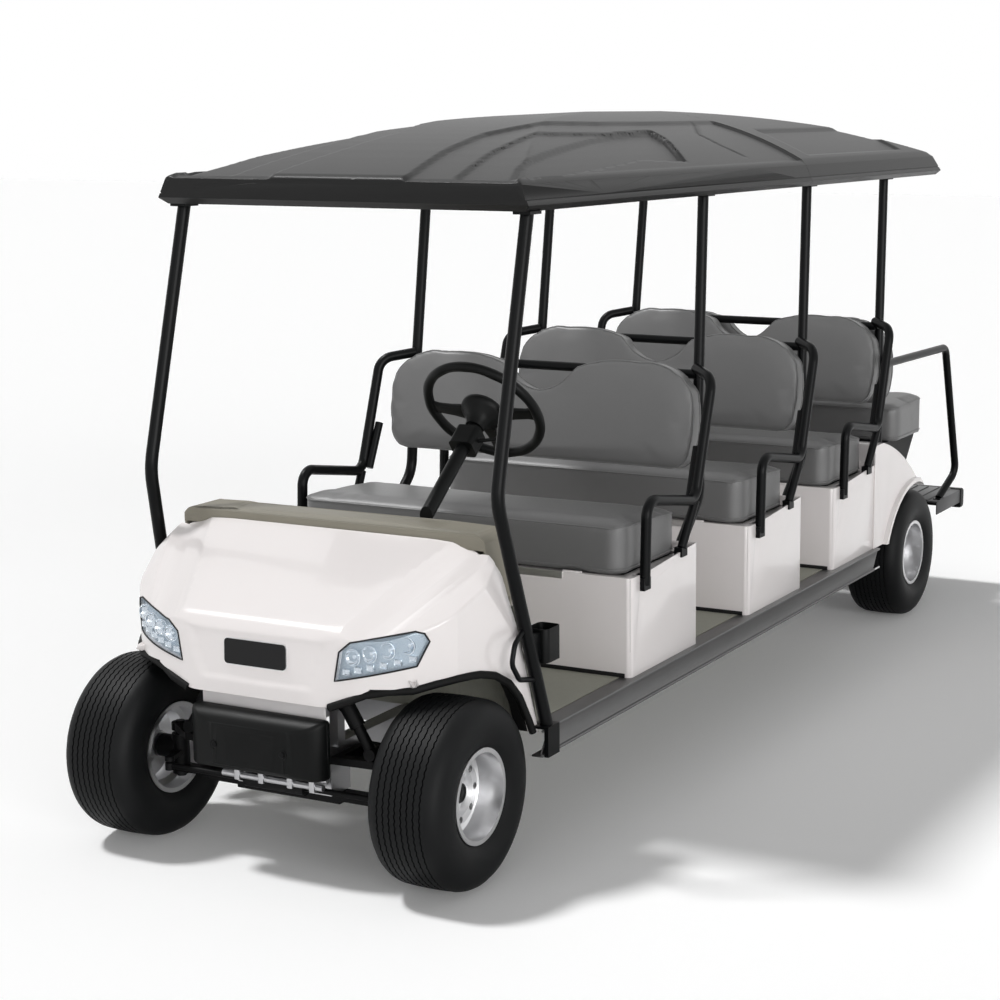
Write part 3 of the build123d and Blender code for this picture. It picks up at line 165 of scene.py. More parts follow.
def machined_metal(name, code, centre):
    """Turned aluminium: fine rings about the wheel's axis, 1.5 mm apart so that they show."""
    rings = ("Wave", "Fac", {"wave_type": "RINGS", "rings_direction": "X"}, {"Scale": 105.0, "Distortion": 0.3})
    return surface(name, code, (20.0, 0.05), rings, 0.00012, 0.5, {"Location": [-c for c in centre]},
                   Metallic=1.0, Roughness=0.3)


def plain_metal(name, code, roughness, brush_mm=2.0):
    """Drawn or cast metal with faint lines along its length."""
    return surface(name, code, (15.0, 0.06), ("Noise", "Fac", {}, {"Scale": 1000 / brush_mm}), 0.00005,
                   mapping={"Scale": (1.0, 0.04, 1.0)}, Metallic=1.0, Roughness=roughness)


def vinyl(code):
    """Marine vinyl over foam: a fine pressed grain, a soft sheen, and slight unevenness of tone."""
    material, tree, shader, coords = new_material("Grey marine vinyl")
    colour = tint(tree, coords, code, 9.0, 0.045)
    tree.links.new(colour.outputs[2], shader.inputs["Base Color"])
    set_shader(shader, Roughness=0.4, IOR=1.5, Sheen_Weight=0.05, Sheen_Roughness=0.5)
    grain = add_node(tree, "ShaderNodeTexVoronoi", {"feature": "DISTANCE_TO_EDGE"},
                     {"Vector": (coords, "Object"), "Scale": 420.0, "Randomness": 1.0})
    crease = add_node(tree, "ShaderNodeTexNoise", inputs={"Vector": (coords, "Object"), "Scale": 24.0, "Detail": 4.0})
    both = add_node(tree, "ShaderNodeMath", {"operation": "MULTIPLY_ADD"},
                    {0: (crease, "Fac"), 1: 3.0, 2: (grain, "Distance")})
    bumped(tree, shader, (both, "Value"), 0.0004, 0.6)
    return material


def lamp_glass():
    """Clear polycarbonate lens with a cool cast."""
    material, _, shader, _ = new_material("Clear lens")
    set_shader(shader, Roughness=0.03, IOR=1.45, Alpha=0.16, Base_Color=linear("#C4D4E2"))
    material.use_transparent_shadow = True
    return material


MATERIALS = {}


def make_materials():
    colours = bpy.context.scene.cart_colours
    MATERIALS.update(
        # gel-coated plastic: a deep clear gloss over a faint orange peel about 3 mm across
        body=surface("Gloss pearl body plastic", colours.body, (1.5, 0.012),
                     ("Noise", "Fac", {}, {"Scale": 160.0, "Detail": 1.0}), 0.00004,
                     Roughness=0.22, IOR=1.5, Coat_Weight=0.7, Coat_Roughness=0.05),
        # near black, dull, with a faint bloom and a fine mould texture
        tyre=surface("Tyre rubber", "#0B0C0D", (14.0, 0.25), ("Noise", "Fac", {}, {"Scale": 700.0, "Detail": 2.0}),
                     0.0002, Roughness=0.52, IOR=1.52, Specular_IOR_Level=0.14),
        # grooves along the cart, 9 mm apart, over a speckled grain
        mat=surface("Ribbed floor mat", colours.mat, (60.0, 0.06), ("Wave", "Fac", {"bands_direction": "X"},
                    {"Scale": 35.0}), 0.0012, 0.5, Roughness=0.7, IOR=1.5),
        vinyl=vinyl(colours.vinyl), lens=lamp_glass(),
        roof=grained_plastic("Roof plastic", colours.roof, 0.38, 2.6, gloss=0.22),
        dash=grained_plastic("Dash plastic", colours.dash, 0.5, 1.8, gloss=0.3),
        black=grained_plastic("Black moulded plastic", "#070808", 0.42, 2.0, gloss=0.14),
        liner=grained_plastic("Arch liner plastic", "#0B0B0B", 0.6, 2.5, gloss=0.15),
        panel=grained_plastic("Light grey plastic", "#C9C6C6", 0.45, 2.0),
        gasket=grained_plastic("Black rubber seal", "#0A0A0B", 0.5, 3.0, gloss=0.3),
        tube=coated_steel("Black powder coat", "#0A0B0C"),
        chassis=coated_steel("Chassis paint", "#0B0B0C", 0.45),
        sill=plain_metal("Anodised sill channel", colours.sill, 0.42),
        bright=plain_metal("Bright aluminium", "#D8D8D8", 0.28),
        frame_metal=plain_metal("Mill-finish aluminium", "#B9B9BB", 0.34),
        rim_front=machined_metal("Turned front rim", "#D9D9DA", (0, -1.89, 0.25)),
        rim_rear=machined_metal("Turned rear rim", "#D9D9DA", (0, 1.5, 0.25)),
        chrome=plain_metal("Chromed reflector", "#E4E9EE", 0.08, 6.0),
        pan=plain_metal("Satin lamp housing", "#A9B4BD", 0.35, 4.0),
        plate=grained_plastic("Gloss black plate", "#060607", 0.16, 6.0, 0.02, 0.3),
        step=grained_plastic("Painted step metal", "#3A3A3B", 0.4, 3.0, gloss=0.3),
    )


# ------------------------------------------------------------------------------------ modelling helpers
def deselect():
    if bpy.context.object and bpy.context.object.mode != "OBJECT":
        bpy.ops.object.mode_set(mode="OBJECT")
    bpy.ops.object.select_all(action="DESELECT")


def activate(obj):
    deselect()
    obj.select_set(True)
    bpy.context.view_layer.objects.active = obj


def new_object(name, data):
    obj = bpy.data.objects.new(name, data)
    bpy.context.scene.collection.objects.link(obj)
    return obj


def edit_all(obj):
    """Opens a mesh in edit mode with everything selected."""
    activate(obj)
    bpy.ops.object.mode_set(mode="EDIT")
    bpy.ops.mesh.select_all(action="SELECT")


def leave_edit(outward=False):
    """Returns to object mode, with all faces turned outward first where asked."""
    if outward:
        bpy.ops.mesh.select_all(action="SELECT")
        bpy.ops.mesh.normals_make_consistent(inside=False)
    bpy.ops.object.mode_set(mode="OBJECT")


def pick_faces(obj, test):
    """Opens a mesh in edit mode with only those faces selected whose normal passes a test."""
    bpy.ops.object.mode_set(mode="EDIT")
    bpy.ops.mesh.select_all(action="DESELECT")
    bpy.ops.object.mode_set(mode="OBJECT")
    for face in obj.data.polygons:
        face.select = test(face.normal)
    bpy.ops.object.mode_set(mode="EDIT")


def settle(obj):
    """Applies the object's place, turn and size to its mesh."""
    activate(obj)
    bpy.ops.object.transform_apply(location=True, rotation=True, scale=True)


def primitive(kind, **settings):
    """Adds a primitive mesh with its place, turn and size applied."""
    deselect()
    getattr(bpy.ops.mesh, f"primitive_{kind}_add")(**settings)
    obj = bpy.context.object
    settle(obj)
    return obj


def apply_all(obj):
    activate(obj)
    for modifier in list(obj.modifiers):
        bpy.ops.object.modifier_apply(modifier=modifier.name)


def bevel_edges(obj, width, segments=3, angle=30):
    bevel = obj.modifiers.new("Bevel", "BEVEL")
    bevel.width, bevel.segments, bevel.limit_method = width, segments, "ANGLE"
    bevel.angle_limit = math.radians(angle)
    bevel.use_clamp_overlap = True
    bevel.miter_outer = "MITER_ARC"
    apply_all(obj)


def smooth(obj, angle=35):
    activate(obj)
    bpy.ops.object.shade_smooth_by_angle(angle=math.radians(angle))


def dress(obj, name, body, material, angle=None):
    """Names a finished piece and gives it its body, material and slot; smooths it where an angle is given."""
    if angle:
        smooth(obj, angle)
    obj.name = name
    obj.data.name = name
    obj.data.materials.clear()
    obj.data.materials.append(MATERIALS[material])
    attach(obj, body)
    return obj


def copy_of(node, welded=True):
    """A merged copy of a frame node's mesh as an object of its own."""
    copy = new_object("copy", NODES[node].data.copy())
    if welded:
        edit_all(copy)
        bpy.ops.mesh.remove_doubles(threshold=0.00001)
        bpy.ops.mesh.dissolve_limited(angle_limit=math.radians(0.5))
        leave_edit()
    return copy


def softened(node, width, body, material, segments=3, angle=30):
    """The node's own form with its edges rounded as a mould or press leaves them."""
    piece = copy_of(node)
    bevel_edges(piece, width, segments, angle)
    dress(piece, node.replace("seat_base", "bench_base").capitalize(), body, material, 40)
    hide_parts(node)
    return piece


def paint(node, material):
    """Gives a frame node that keeps its own form a better finish."""
    mesh_object = NODES[node]
    mesh_object.data.materials.clear()
    mesh_object.data.materials.append(MATERIALS[material])


def outline_block(points, plane, span, name="cutter"):
    """A closed outline extruded along the axis across its plane: XZ goes along Y, YZ along X, XY along Z."""
    place = {"XZ": lambda a, b: (a, span[0], b), "YZ": lambda a, b: (span[0], a, b), "XY": lambda a, b: (a, b, span[0])}
    run = {"XZ": (0, span[1] - span[0], 0), "YZ": (span[1] - span[0], 0, 0), "XY": (0, 0, span[1] - span[0])}
    mesh = bpy.data.meshes.new(name)
    mesh.from_pydata([place[plane](*point) for point in points], [], [range(len(points))])
    block = new_object(name, mesh)
    edit_all(block)
    bpy.ops.mesh.extrude_region_move(TRANSFORM_OT_translate={"value": run[plane]})
    leave_edit(outward=True)
    return block


def arc(start, through, end, steps=10):
    """Points along the circle through three points, the first left out."""
    (ax, ay), (bx, by), (cx, cy) = start, through, end
    d = 2 * (ax * (by - cy) + bx * (cy - ay) + cx * (ay - by))
    ux = ((ax**2 + ay**2) * (by - cy) + (bx**2 + by**2) * (cy - ay) + (cx**2 + cy**2) * (ay - by)) / d
    uy = ((ax**2 + ay**2) * (cx - bx) + (bx**2 + by**2) * (ax - cx) + (cx**2 + cy**2) * (bx - ax)) / d
    angles = [math.atan2(y - uy, x - ux) for x, y in (start, through, end)]
    for i in (1, 2):
        while angles[i] - angles[i - 1] > math.pi:
            angles[i] -= 2 * math.pi
        while angles[i] - angles[i - 1] < -math.pi:
            angles[i] += 2 * math.pi
    radius = math.hypot(ax - ux, ay - uy)
    turns = [angles[0] + (angles[2] - angles[0]) * i / steps for i in range(1, steps + 1)]
    return [(ux + radius * math.cos(t), uy + radius * math.sin(t)) for t in turns]


def boolean(obj, cutter, operation, keep=False):
    modifier = obj.modifiers.new("Cut", "BOOLEAN")
    modifier.operation, modifier.object, modifier.solver = operation, cutter, "MANIFOLD"
    apply_all(obj)
    if not keep:
        bpy.data.objects.remove(cutter)


def largest_part(obj):
    """Drops the slivers that cutting leaves, so that the piece is one shell."""
    edit_all(obj)
    bpy.ops.mesh.separate(type="LOOSE")
    leave_edit()
    parts = sorted(bpy.context.selected_objects, key=lambda part: len(part.data.vertices))
    for part in parts[:-1]:
        bpy.data.objects.remove(part)
    return parts[-1]


def duplicate(obj):
    return new_object(obj.name + "_copy", obj.data.copy())


def join(objs):
    deselect()
    for obj in objs:
        obj.select_set(True)
    bpy.context.view_layer.objects.active = objs[0]
    bpy.ops.object.join()
    return objs[0]


def box_of(node):
    """A node's lowest and highest corners as vectors."""
    return [Vector(corner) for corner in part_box(node)]


def centre_of(node):
    low, high = box_of(node)
    return (low + high) / 2


def turned(profile, centre, axis, steps=48, closed=False):
    """A profile of (distance along the axis, radius) points spun about an axis through centre."""
    centre, axis = Vector(centre), Vector(axis).normalized()
    side = axis.orthogonal().normalized()
    points = [centre + axis * along + side * radius for along, radius in profile]
    edges = [(i, i + 1) for i in range(len(points) - 1)] + ([(len(points) - 1, 0)] if closed else [])
    mesh = bpy.data.meshes.new("turned")
    mesh.from_pydata(points, edges, [])
    obj = new_object("turned", mesh)
    edit_all(obj)
    bpy.ops.mesh.spin(steps=steps, angle=math.tau, center=centre, axis=axis)
    bpy.ops.mesh.select_all(action="SELECT")
    bpy.ops.mesh.remove_doubles(threshold=0.00002)
    leave_edit(outward=True)
    return obj


def piped(points, radius, closed=True, sides=2):
    """A round bead, tube or wire along a list of places."""
    curve = bpy.data.curves.new("bead", "CURVE")
    curve.dimensions, curve.bevel_depth, curve.bevel_resolution, curve.use_fill_caps = "3D", radius, sides, True
    spline = curve.splines.new("POLY")
    spline.points.add(len(points) - 1)
    for point, place in zip(spline.points, points):
        point.co = (*place, 1)
    spline.use_cyclic_u = closed
    activate(new_object("bead", curve))
    bpy.ops.object.convert(target="MESH")
    bead = bpy.context.object
    smooth(bead, 60)
    return bead


def denser(points, step, closed=True):
    """The same outline with a point at least every step."""
    line = list(points) + ([points[0]] if closed else [])
    out = []
    for start, end in zip(line, line[1:]):
        parts = max(1, math.ceil(math.dist(start, end) / step))
        out += [tuple(a + (b - a) * i / parts for a, b in zip(start, end)) for i in range(parts)]
    return out if closed else out + [line[-1]]


def rounded_rectangle(low, high, radius, steps=5):
    """The outline of a rectangle with round corners between two corner points."""
    (x0, z0), (x1, z1) = low, high
    corners = ((x1 - radius, z1 - radius, 0), (x0 + radius, z1 - radius, 90),
               (x0 + radius, z0 + radius, 180), (x1 - radius, z0 + radius, 270))
    return [(x + radius * math.cos(math.radians(turn + 90 * i / steps)),
             z + radius * math.sin(math.radians(turn + 90 * i / steps)))
            for x, z, turn in corners for i in range(steps + 1)]


def shifted(obj, offset):
    obj.data.transform(Matrix.Translation(offset))
    return obj


def pressed_block(low, high, edge, recess=0.0, inset=0.003):
    """A small moulded block with rounded edges and, where asked, a pocket in its front face."""
    low, high = Vector(low), Vector(high)
    block = primitive("cube", size=1, location=(low + high) / 2, scale=high - low)
    if recess:
        bpy.ops.object.mode_set(mode="EDIT")
        bpy.ops.mesh.select_mode(type="FACE")
        pick_faces(block, lambda normal: normal.y < -0.9)
        bpy.ops.mesh.inset(thickness=inset)
        bpy.ops.transform.translate(value=(0, recess, 0))
        leave_edit()
    bevel_edges(block, edge, 2, 30)
    smooth(block, 40)
    return block


# ------------------------------------------------------------------------------------ operators
class CART_OT_paint(bpy.types.Operator):
    """Makes the materials and finishes the frame nodes that keep their form"""
    bl_idname = "cart.paint"
    bl_label = "Paint the frame"

    def execute(self, context):
        make_materials()
        finishes = {
            "black": ("cup_holders", "steering_wheel", "steering_column", "foot_pedals", "front_bumper", "rear_bumper"),
            "chassis": ("front_leaf_spring", "front_control_arms", "front_shocks", "tie_rod", "steering_rack",
                        "knuckle_left", "knuckle_right", "rear_axle", "rear_springs", "rear_seat_frame",
                        "battery_pack"),
            "liner": ("arch_liners",),
            "panel": ("lower_front_panel",),
            "frame_metal": ("chassis_frame",),
            "bright": ("rear_footrest",),
            "sill": ("sills",),
            "mat": ("floor_pan",),
            "dash": ("dashboard",),
            "roof": ("roof_front", "roof_rear"),
            "tube": ("front_struts", "support_frame_1", "support_frame_2", "support_frame_3"),
            "body": ("front_cowl", "rear_body", "seat_base_1", "seat_base_2", "seat_base_3"),
            "vinyl": tuple(f"seat_{kind}_{row}" for kind in ("cushion", "back") for row in ROWS),
            "tyre": tuple(f"tyre_{wheel}" for wheel in WHEELS),
            "rim_front": ("rim_front_left", "rim_front_right"),
            "rim_rear": ("rim_rear_left", "rim_rear_right"),
            "lens": ("headlamps",),
        }
        for material, nodes in finishes.items():
            for node in nodes:
                paint(node, material)
        return {"FINISHED"}


# the cart's own length axis is measured here from the front axle, in metres
AXLE_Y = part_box("rim_front_left")[0][1] + 0.126


def at_axle(points):
    """Outline points given from the front axle in millimetres, in the frame's metres."""
    return [(y * MM + AXLE_Y, z * MM) for y, z in points]


def metres(points):
    return [(a * MM, b * MM) for a, b in points]


# a lamp's outline seen from the front, in millimetres
LAMP = ((240, 550), (254, 627), (285, 654), (433, 683), (452, 677), (461, 655), (437, 593))
# the cowl's wall, a lens's wall, and how far a lamp's housing stands behind its glass
COWL_WALL, LENS_WALL, HOUSING_BACK = 0.022, 0.004, 0.017
# the creases run from the lip to each lamp: brow, nose and shoulder, in millimetres
CREASE = ((385, 185, 860), (258, -114, 694), (490, 190, 848))
SCOOP_R, SCOOP_DEPTH, SCOOP_SETBACK = 0.260, 0.012, 0.078


def on_cart(x, y, z):
    """A place given in millimetres, its length measured from the front axle, in the frame's metres."""
    return Vector((x * MM, y * MM + AXLE_Y, z * MM))


def ray_onto(obj, x, z):
    """Where a line running back along the cart at x, z first meets an object."""
    hit, place, _, _ = obj.ray_cast(Vector((x, AXLE_Y - 1.0, z)), Vector((0, 1, 0)))
    if not hit:
        raise RuntimeError(f"nothing to meet at {x:.3f}, {z:.3f}")
    return place


def scoop_cutters():
    """The long round tools that leave a crisp crease from the lip down to each lamp."""
    brow, nose, shoulder = (on_cart(*point) for point in CREASE)
    along = (nose - brow).normalized()
    up = along.cross(shoulder - brow).normalized()
    if up.z < 0:
        up.negate()
    outward = up.cross(along).normalized()
    if outward.x < 0:
        outward.negate()
    middle = brow + outward * SCOOP_SETBACK + up * (SCOOP_R - SCOOP_DEPTH)
    cutters = []
    for sign in (1, -1):
        cutter = primitive("cylinder", vertices=160, radius=SCOOP_R, depth=1.6, location=middle,
                           rotation=along.to_track_quat("Z", "Y").to_euler())
        if sign < 0:
            cutter.data.transform(Matrix.Scale(-1, 4, (1, 0, 0)))
            cutter.data.flip_normals()
        cutters.append(cutter)
    return cutters


def cowl_skin():
    """The cowl's outer surface: a fine cage drawn onto the body's form, then eased over its creases."""
    form = join([copy_of("front_cowl"), copy_of("headlamps")])
    form.data.vertices.add(2)
    for vertex, side in zip(form.data.vertices[-2:], (1, -1)):
        vertex.co = on_cart(side * 478, 190, 857)
    edit_all(form)
    bpy.ops.mesh.convex_hull()
    leave_edit()
    low, high = box_of("front_cowl")
    cage = primitive("cube", size=1, location=(low + high) / 2, scale=(high - low) * 1.02)
    pick_faces(cage, lambda normal: normal.z < -0.9 or normal.y > 0.9)
    bpy.ops.mesh.delete(type="FACE")
    bpy.ops.mesh.select_all(action="SELECT")
    bpy.ops.mesh.subdivide(number_cuts=84)
    for place, normal in (((-155, 469), (-133, -455)), ((191, 866), (531, 108))):
        (y, z), (ny, nz) = at_axle([place])[0], normal
        bpy.ops.mesh.select_all(action="SELECT")
        bpy.ops.mesh.bisect(plane_co=(0, y, z), plane_no=Vector((0, ny, nz)).normalized(), clear_outer=True)
    leave_edit()
    wrap = cage.modifiers.new("Wrap", "SHRINKWRAP")
    wrap.target, wrap.wrap_method = form, "NEAREST_SURFACEPOINT"
    ease = cage.modifiers.new("Ease", "SMOOTH")
    ease.factor, ease.iterations = 0.5, 14
    apply_all(cage)
    bpy.data.objects.remove(form)
    return cage


def press_recess(skin):
    """Presses the shallow panel for the plate into the nose, with soft edges."""
    half_top, half_foot, top, foot, depth, soft = 0.215, 0.168, 0.646, 0.522, 0.0045, 0.010
    for vertex in skin.data.vertices:
        x, y, z = vertex.co
        if y > AXLE_Y - 0.10:
            continue
        half = half_foot + (half_top - half_foot) * (z - foot) / (top - foot)
        inside = min(half - abs(x), top - z, z - foot)
        vertex.co.y += depth * max(0.0, min(1.0, 0.5 + inside / soft))


def arch_cutters():
    """The wheel openings and the open underside, as blocks to cut away."""
    side = [(-320, 290), (-320, 535), (-79, 535)] + arc((-79, 535), (60, 553), (184, 505)) \
        + arc((184, 505), (236, 425), (266, 335)) + [(266, 290)]
    far, mask = 0.7, 0.33
    pieces = []
    for sign in (-1, 1):
        pieces.append(outline_block(at_axle(side), "YZ", sorted((sign * mask, sign * far))))
        front = [(sign * x, z) for x, z in ((212, 290), (212, 472), (330, 531), (700, 531), (700, 290))]
        pieces.append(outline_block(metres(front), "XZ", (AXLE_Y - 0.32, AXLE_Y - 0.078)))
    under = metres(((-332, 290), (332, 290), (332, 468), (-332, 468)))
    return [*pieces, outline_block(under, "XZ", (AXLE_Y - 0.10, AXLE_Y + 0.40))]


class CART_OT_cowl(bpy.types.Operator):
    """Moulds the front cowl with its wheel arches, lamps and blank plate"""
    bl_idname = "cart.cowl"
    bl_label = "Front cowl and headlamps"

    def execute(self, context):
        skin = cowl_skin()
        press_recess(skin)
        wall = skin.modifiers.new("Wall", "SOLIDIFY")
        wall.thickness, wall.offset = COWL_WALL, -1
        apply_all(skin)
        for cutter in scoop_cutters():
            boolean(skin, cutter, "DIFFERENCE")
        self.plate(skin)
        lenses, housings, seals = [], [], []
        for sign in (-1, 1):
            outline = metres([(sign * x, z) for x, z in LAMP])
            seals.append([ray_onto(skin, x, z) for x, z in denser(outline, 0.012)])
            socket = outline_block(outline, "XZ", (AXLE_Y - 0.25, AXLE_Y + 0.06))
            plug = duplicate(skin)
            boolean(plug, socket, "INTERSECT", keep=True)
            housings.append(shifted(duplicate(plug), (0, HOUSING_BACK, 0)))
            behind = shifted(duplicate(plug), (0, LENS_WALL, 0))
            self.reflectors(plug, sign)
            boolean(plug, behind, "DIFFERENCE")
            lenses.append(plug)
            boolean(skin, socket, "DIFFERENCE")
        for cutter in arch_cutters():
            boolean(skin, cutter, "DIFFERENCE")
        skin = largest_part(skin)
        dress(skin, "Front_cowl", "cart", "body", 35)
        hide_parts("front_cowl")
        glass = join(lenses)
        dress(glass, "Headlamp_lenses", "cart", "lens", 35)
        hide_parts("headlamps")
        pans = join(housings)
        dress(pans, "Headlamp_housings", "cart", "pan", 35)
        gasket = join([piped(points, 0.0024) for points in seals])
        dress(gasket, "Headlamp_seals", "cart", "gasket")
        return {"FINISHED"}

    def reflectors(self, plug, sign):
        """Four round bowls in a rising row over a row of small square mirrors"""
        bowl = metres(((0, 20.5), (-5, 17.5), (-8.5, 12), (-9.5, 6.5), (-6, 5), (-4, 0), (-12, 0), (-11, 12),
                       (-4, 21.5), (1.5, 22.5), (1.5, 20.5)))
        pieces = []
        for x, z in ((287, 614), (330, 624), (373, 634), (415, 646)):
            place = ray_onto(plug, sign * x * MM, z * MM)
            inner = turned(bowl[:6], place + Vector((0, 0.009, 0)), (0, -1, 0), 40)
            outer = turned((*bowl[6:], bowl[0]), place + Vector((0, 0.009, 0)), (0, -1, 0), 40)
            pieces.append(join([inner, outer]))
        for i in range(6):
            x, z = 268 + i * 31.5, 574 + i * 7.2
            place = ray_onto(plug, sign * x * MM, z * MM)
            low = place + Vector((-0.0105, 0.007, -0.008))
            pieces.append(pressed_block(low, low + Vector((0.021, 0.010, 0.017)), 0.001, 0.004, 0.003))
        bowls = join(pieces)
        dress(bowls, f"Headlamp_reflectors_{'left' if sign > 0 else 'right'}", "cart", "chrome", 40)

    def plate(self, skin):
        """A blank black plate on the nose, with a thin bright border"""
        for name, grow, stand, material, slot in (("Plate_border", 0.0025, 0.0022, "bright", "sill_metal"),
                                                  ("Blank_plate", 0, 0.0045, "plate", "black_plastic")):
            plate = duplicate(skin)
            outline = rounded_rectangle((-0.096 - grow, 0.562 - grow), (0.096 + grow, 0.629 + grow), 0.010 + grow)
            boolean(plate, outline_block(outline, "XZ", (AXLE_Y - 0.25, AXLE_Y + 0.05)), "INTERSECT")
            shifted(plate, (0, -stand, 0))
            dress(plate, name, "cart", material, 35)


# ---------------------------------------------------------------- roof
# each region of the roof's left half that lies lower: its drop, and its outline in plan, in millimetres
ROOF_STEPS = (
    (9, ((215, 262), (215, 300), (170, 550), (150, 800), (190, 1000), (215, 1400), (225, 1900), (225, 2225),
         (548, 2225), (548, 262))),
    (8, ((358, 285), (332, 429), (304, 570), (289, 726), (274, 870), (283, 1000), (300, 1300), (330, 1102),
         (383, 816), (411, 676), (437, 553), (472, 413), (524, 285))),
    (16, ((524, 285), (472, 413), (437, 553), (411, 676), (383, 816), (330, 1102), (293, 1361), (281, 1612),
          (364, 1555), (504, 1385), (480, 1129), (512, 810), (534, 531), (546, 340))),
)
ROOF_SEAM = ((225, 2052), (235, 2040), (330, 1864), (422, 1833), (499, 1850), (499, 1864), (422, 1847), (332, 1878),
             (240, 2052))
# the spacing of the mesh that carries the steps, across and along
GRID_X, GRID_Y = 0.0085, 0.0105
EAVE_ROUND = 0.014
# how far the crown stays under the hull, how softly a step falls, and the rim's lowest edge and foot
CROWN_GAP, STEP_SOFT, RIM_EDGE, RIM_FOOT = 0.0015, 0.010, 1.735, 1.70
# the foot and the top of the line pressed round the rim
RIM_GROOVE = (1.754, 1.758)
REAR_PANEL = ((330, 2350), (520, 2350), (520, 3300), (330, 3300))


def hull_of(obj):
    """The convex hull of an object as a closed form of its own."""
    hull = duplicate(obj)
    edit_all(hull)
    bpy.ops.mesh.convex_hull(use_existing_faces=False, join_triangles=False)
    leave_edit()
    return hull


def inside_distance(point, outline):
    """How far a point lies inside a closed outline; negative outside."""
    x, y = point
    nearest, inside = 1e9, False
    for (ax, ay), (bx, by) in zip(outline, outline[1:] + outline[:1]):
        dx, dy = bx - ax, by - ay
        share = max(0.0, min(1.0, ((x - ax) * dx + (y - ay) * dy) / (dx * dx + dy * dy)))
        nearest = min(nearest, math.hypot(x - ax - share * dx, y - ay - share * dy))
        if (ay > y) != (by > y) and x < ax + (y - ay) / dy * dx:
            inside = not inside
    return nearest if inside else -nearest


class CART_OT_roof(bpy.types.Operator):
    """Moulds the two roof panels with their stepped ribs, seams and fascia"""
    bl_idname = "cart.roof"
    bl_label = "Roof panels"

    def execute(self, context):
        for node in ("roof_front", "roof_rear"):
            shell = copy_of(node)
            hull = hull_of(shell)
            skin = duplicate(hull)
            boolean(skin, shifted(duplicate(hull), (0, 0, -0.012)), "DIFFERENCE")
            boolean(shell, skin, "UNION")
            form = self.pressed_form(node, hull)
            sheet = duplicate(form)
            boolean(sheet, shifted(duplicate(form), (0, 0, -0.010)), "DIFFERENCE")
            boolean(sheet, hull, "INTERSECT")
            boolean(shell, form, "INTERSECT")
            boolean(shell, sheet, "UNION")
            self.fascia_groove(shell, node)
            dress(shell, "Roof_panel_" + node.split("_")[1], "cart", "roof", 32)
            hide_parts(node)
        return {"FINISHED"}

    def pressed_form(self, node, hull):
        """A block whose top is the roof's crown with its steps, its eave rounded over"""
        front = node == "roof_front"
        low, high = box_of(node)
        eave_x, eave_front, eave_rear = high.x - 0.030, low.y + 0.006, high.y - 0.040
        regions = ((*ROOF_STEPS, (4, ROOF_SEAM)) if front else ((9, REAR_PANEL),))
        regions = [(drop * MM, [(x * MM, y * MM + AXLE_Y) for x, y in outline]) for drop, outline in regions]
        boxes = [(min(x for x, _ in o) - 0.01, max(x for x, _ in o) + 0.01,
                  min(y for _, y in o) - 0.01, max(y for _, y in o) + 0.01) for _, o in regions]
        size = (high.x - low.x + 0.02, high.y - low.y + 0.02)
        block = primitive("grid", x_subdivisions=round(size[0] / GRID_X), y_subdivisions=round(size[1] / GRID_Y),
                          size=2, location=(*((low + high) / 2).xy, 2.2), scale=(*size, 1))
        grid_low, grid_high = bounds_of(block)
        for vertex in block.data.vertices:
            x = low.x - 0.01 + (vertex.co.x - grid_low.x) / (grid_high.x - grid_low.x) * size[0]
            y = low.y - 0.01 + (vertex.co.y - grid_low.y) / (grid_high.y - grid_low.y) * size[1]
            vertex.co.x, vertex.co.y = x, y
            ends = y - eave_front if front else eave_rear - y
            gap = min(eave_x - abs(x), ends)
            at_x = max(-eave_x, min(eave_x, x))
            at_y = max(eave_front if front else low.y + 0.001, min(high.y - 0.001 if front else eave_rear, y))
            hit, place, _, _ = hull.ray_cast(Vector((at_x, at_y, 3)), Vector((0, 0, -1)))
            z = place.z - CROWN_GAP if hit else high.z
            for (drop, outline), (x0, x1, y0, y1) in zip(regions, boxes):
                if x0 < abs(x) < x1 and y0 < y < y1:
                    z -= drop * max(0.0, min(1.0, 0.5 + inside_distance((abs(x), y), outline) / STEP_SOFT))
            if 0 <= gap < EAVE_ROUND:
                z -= EAVE_ROUND - math.sqrt(max(0.0, EAVE_ROUND ** 2 - (EAVE_ROUND - gap) ** 2))
            elif gap < 0:
                fall = max((abs(x) - eave_x) * 2.3, -ends * (2.3 if front else 1.7))
                z -= EAVE_ROUND - 0.020 * min(1.0, fall / 0.018) + fall
            vertex.co.z = max(z, RIM_EDGE)
        edit_all(block)
        bpy.ops.mesh.extrude_region_move(TRANSFORM_OT_translate={"value": (0, 0, -0.6)})
        leave_edit()
        for vertex in block.data.vertices:
            if vertex.co.z < 1.5:
                vertex.co.z = RIM_FOOT
        edit_all(block)
        leave_edit(outward=True)
        return block

    def fascia_groove(self, shell, node):
        """A line pressed round the rim, a third of the way up"""
        low, high = box_of(node)
        foot, top = RIM_GROOVE
        for sign in (1, -1):
            inner, outer = sign * (high.x - 0.009), sign * (high.x + 0.02)
            points = [(inner, foot), (outer, foot), (outer, top), (inner, top)]
            boolean(shell, outline_block(points, "XZ", (low.y - 0.01, high.y + 0.01)), "DIFFERENCE")


# ---------------------------------------------------------------- wheels
# the right half of a tyre's section from bead to shoulder, (across, radius) in millimetres
TYRE_SIDE = ((90.5, 119.5), (91.2, 127.2), (98.5, 136), (106.5, 152), (111.2, 172), (111.6, 190), (109.6, 206),
             (105.5, 219), (99, 230), (90.5, 238.5), (81, 243.7), (73, 246.4))
GROOVES = (62, 44, 26, 9)


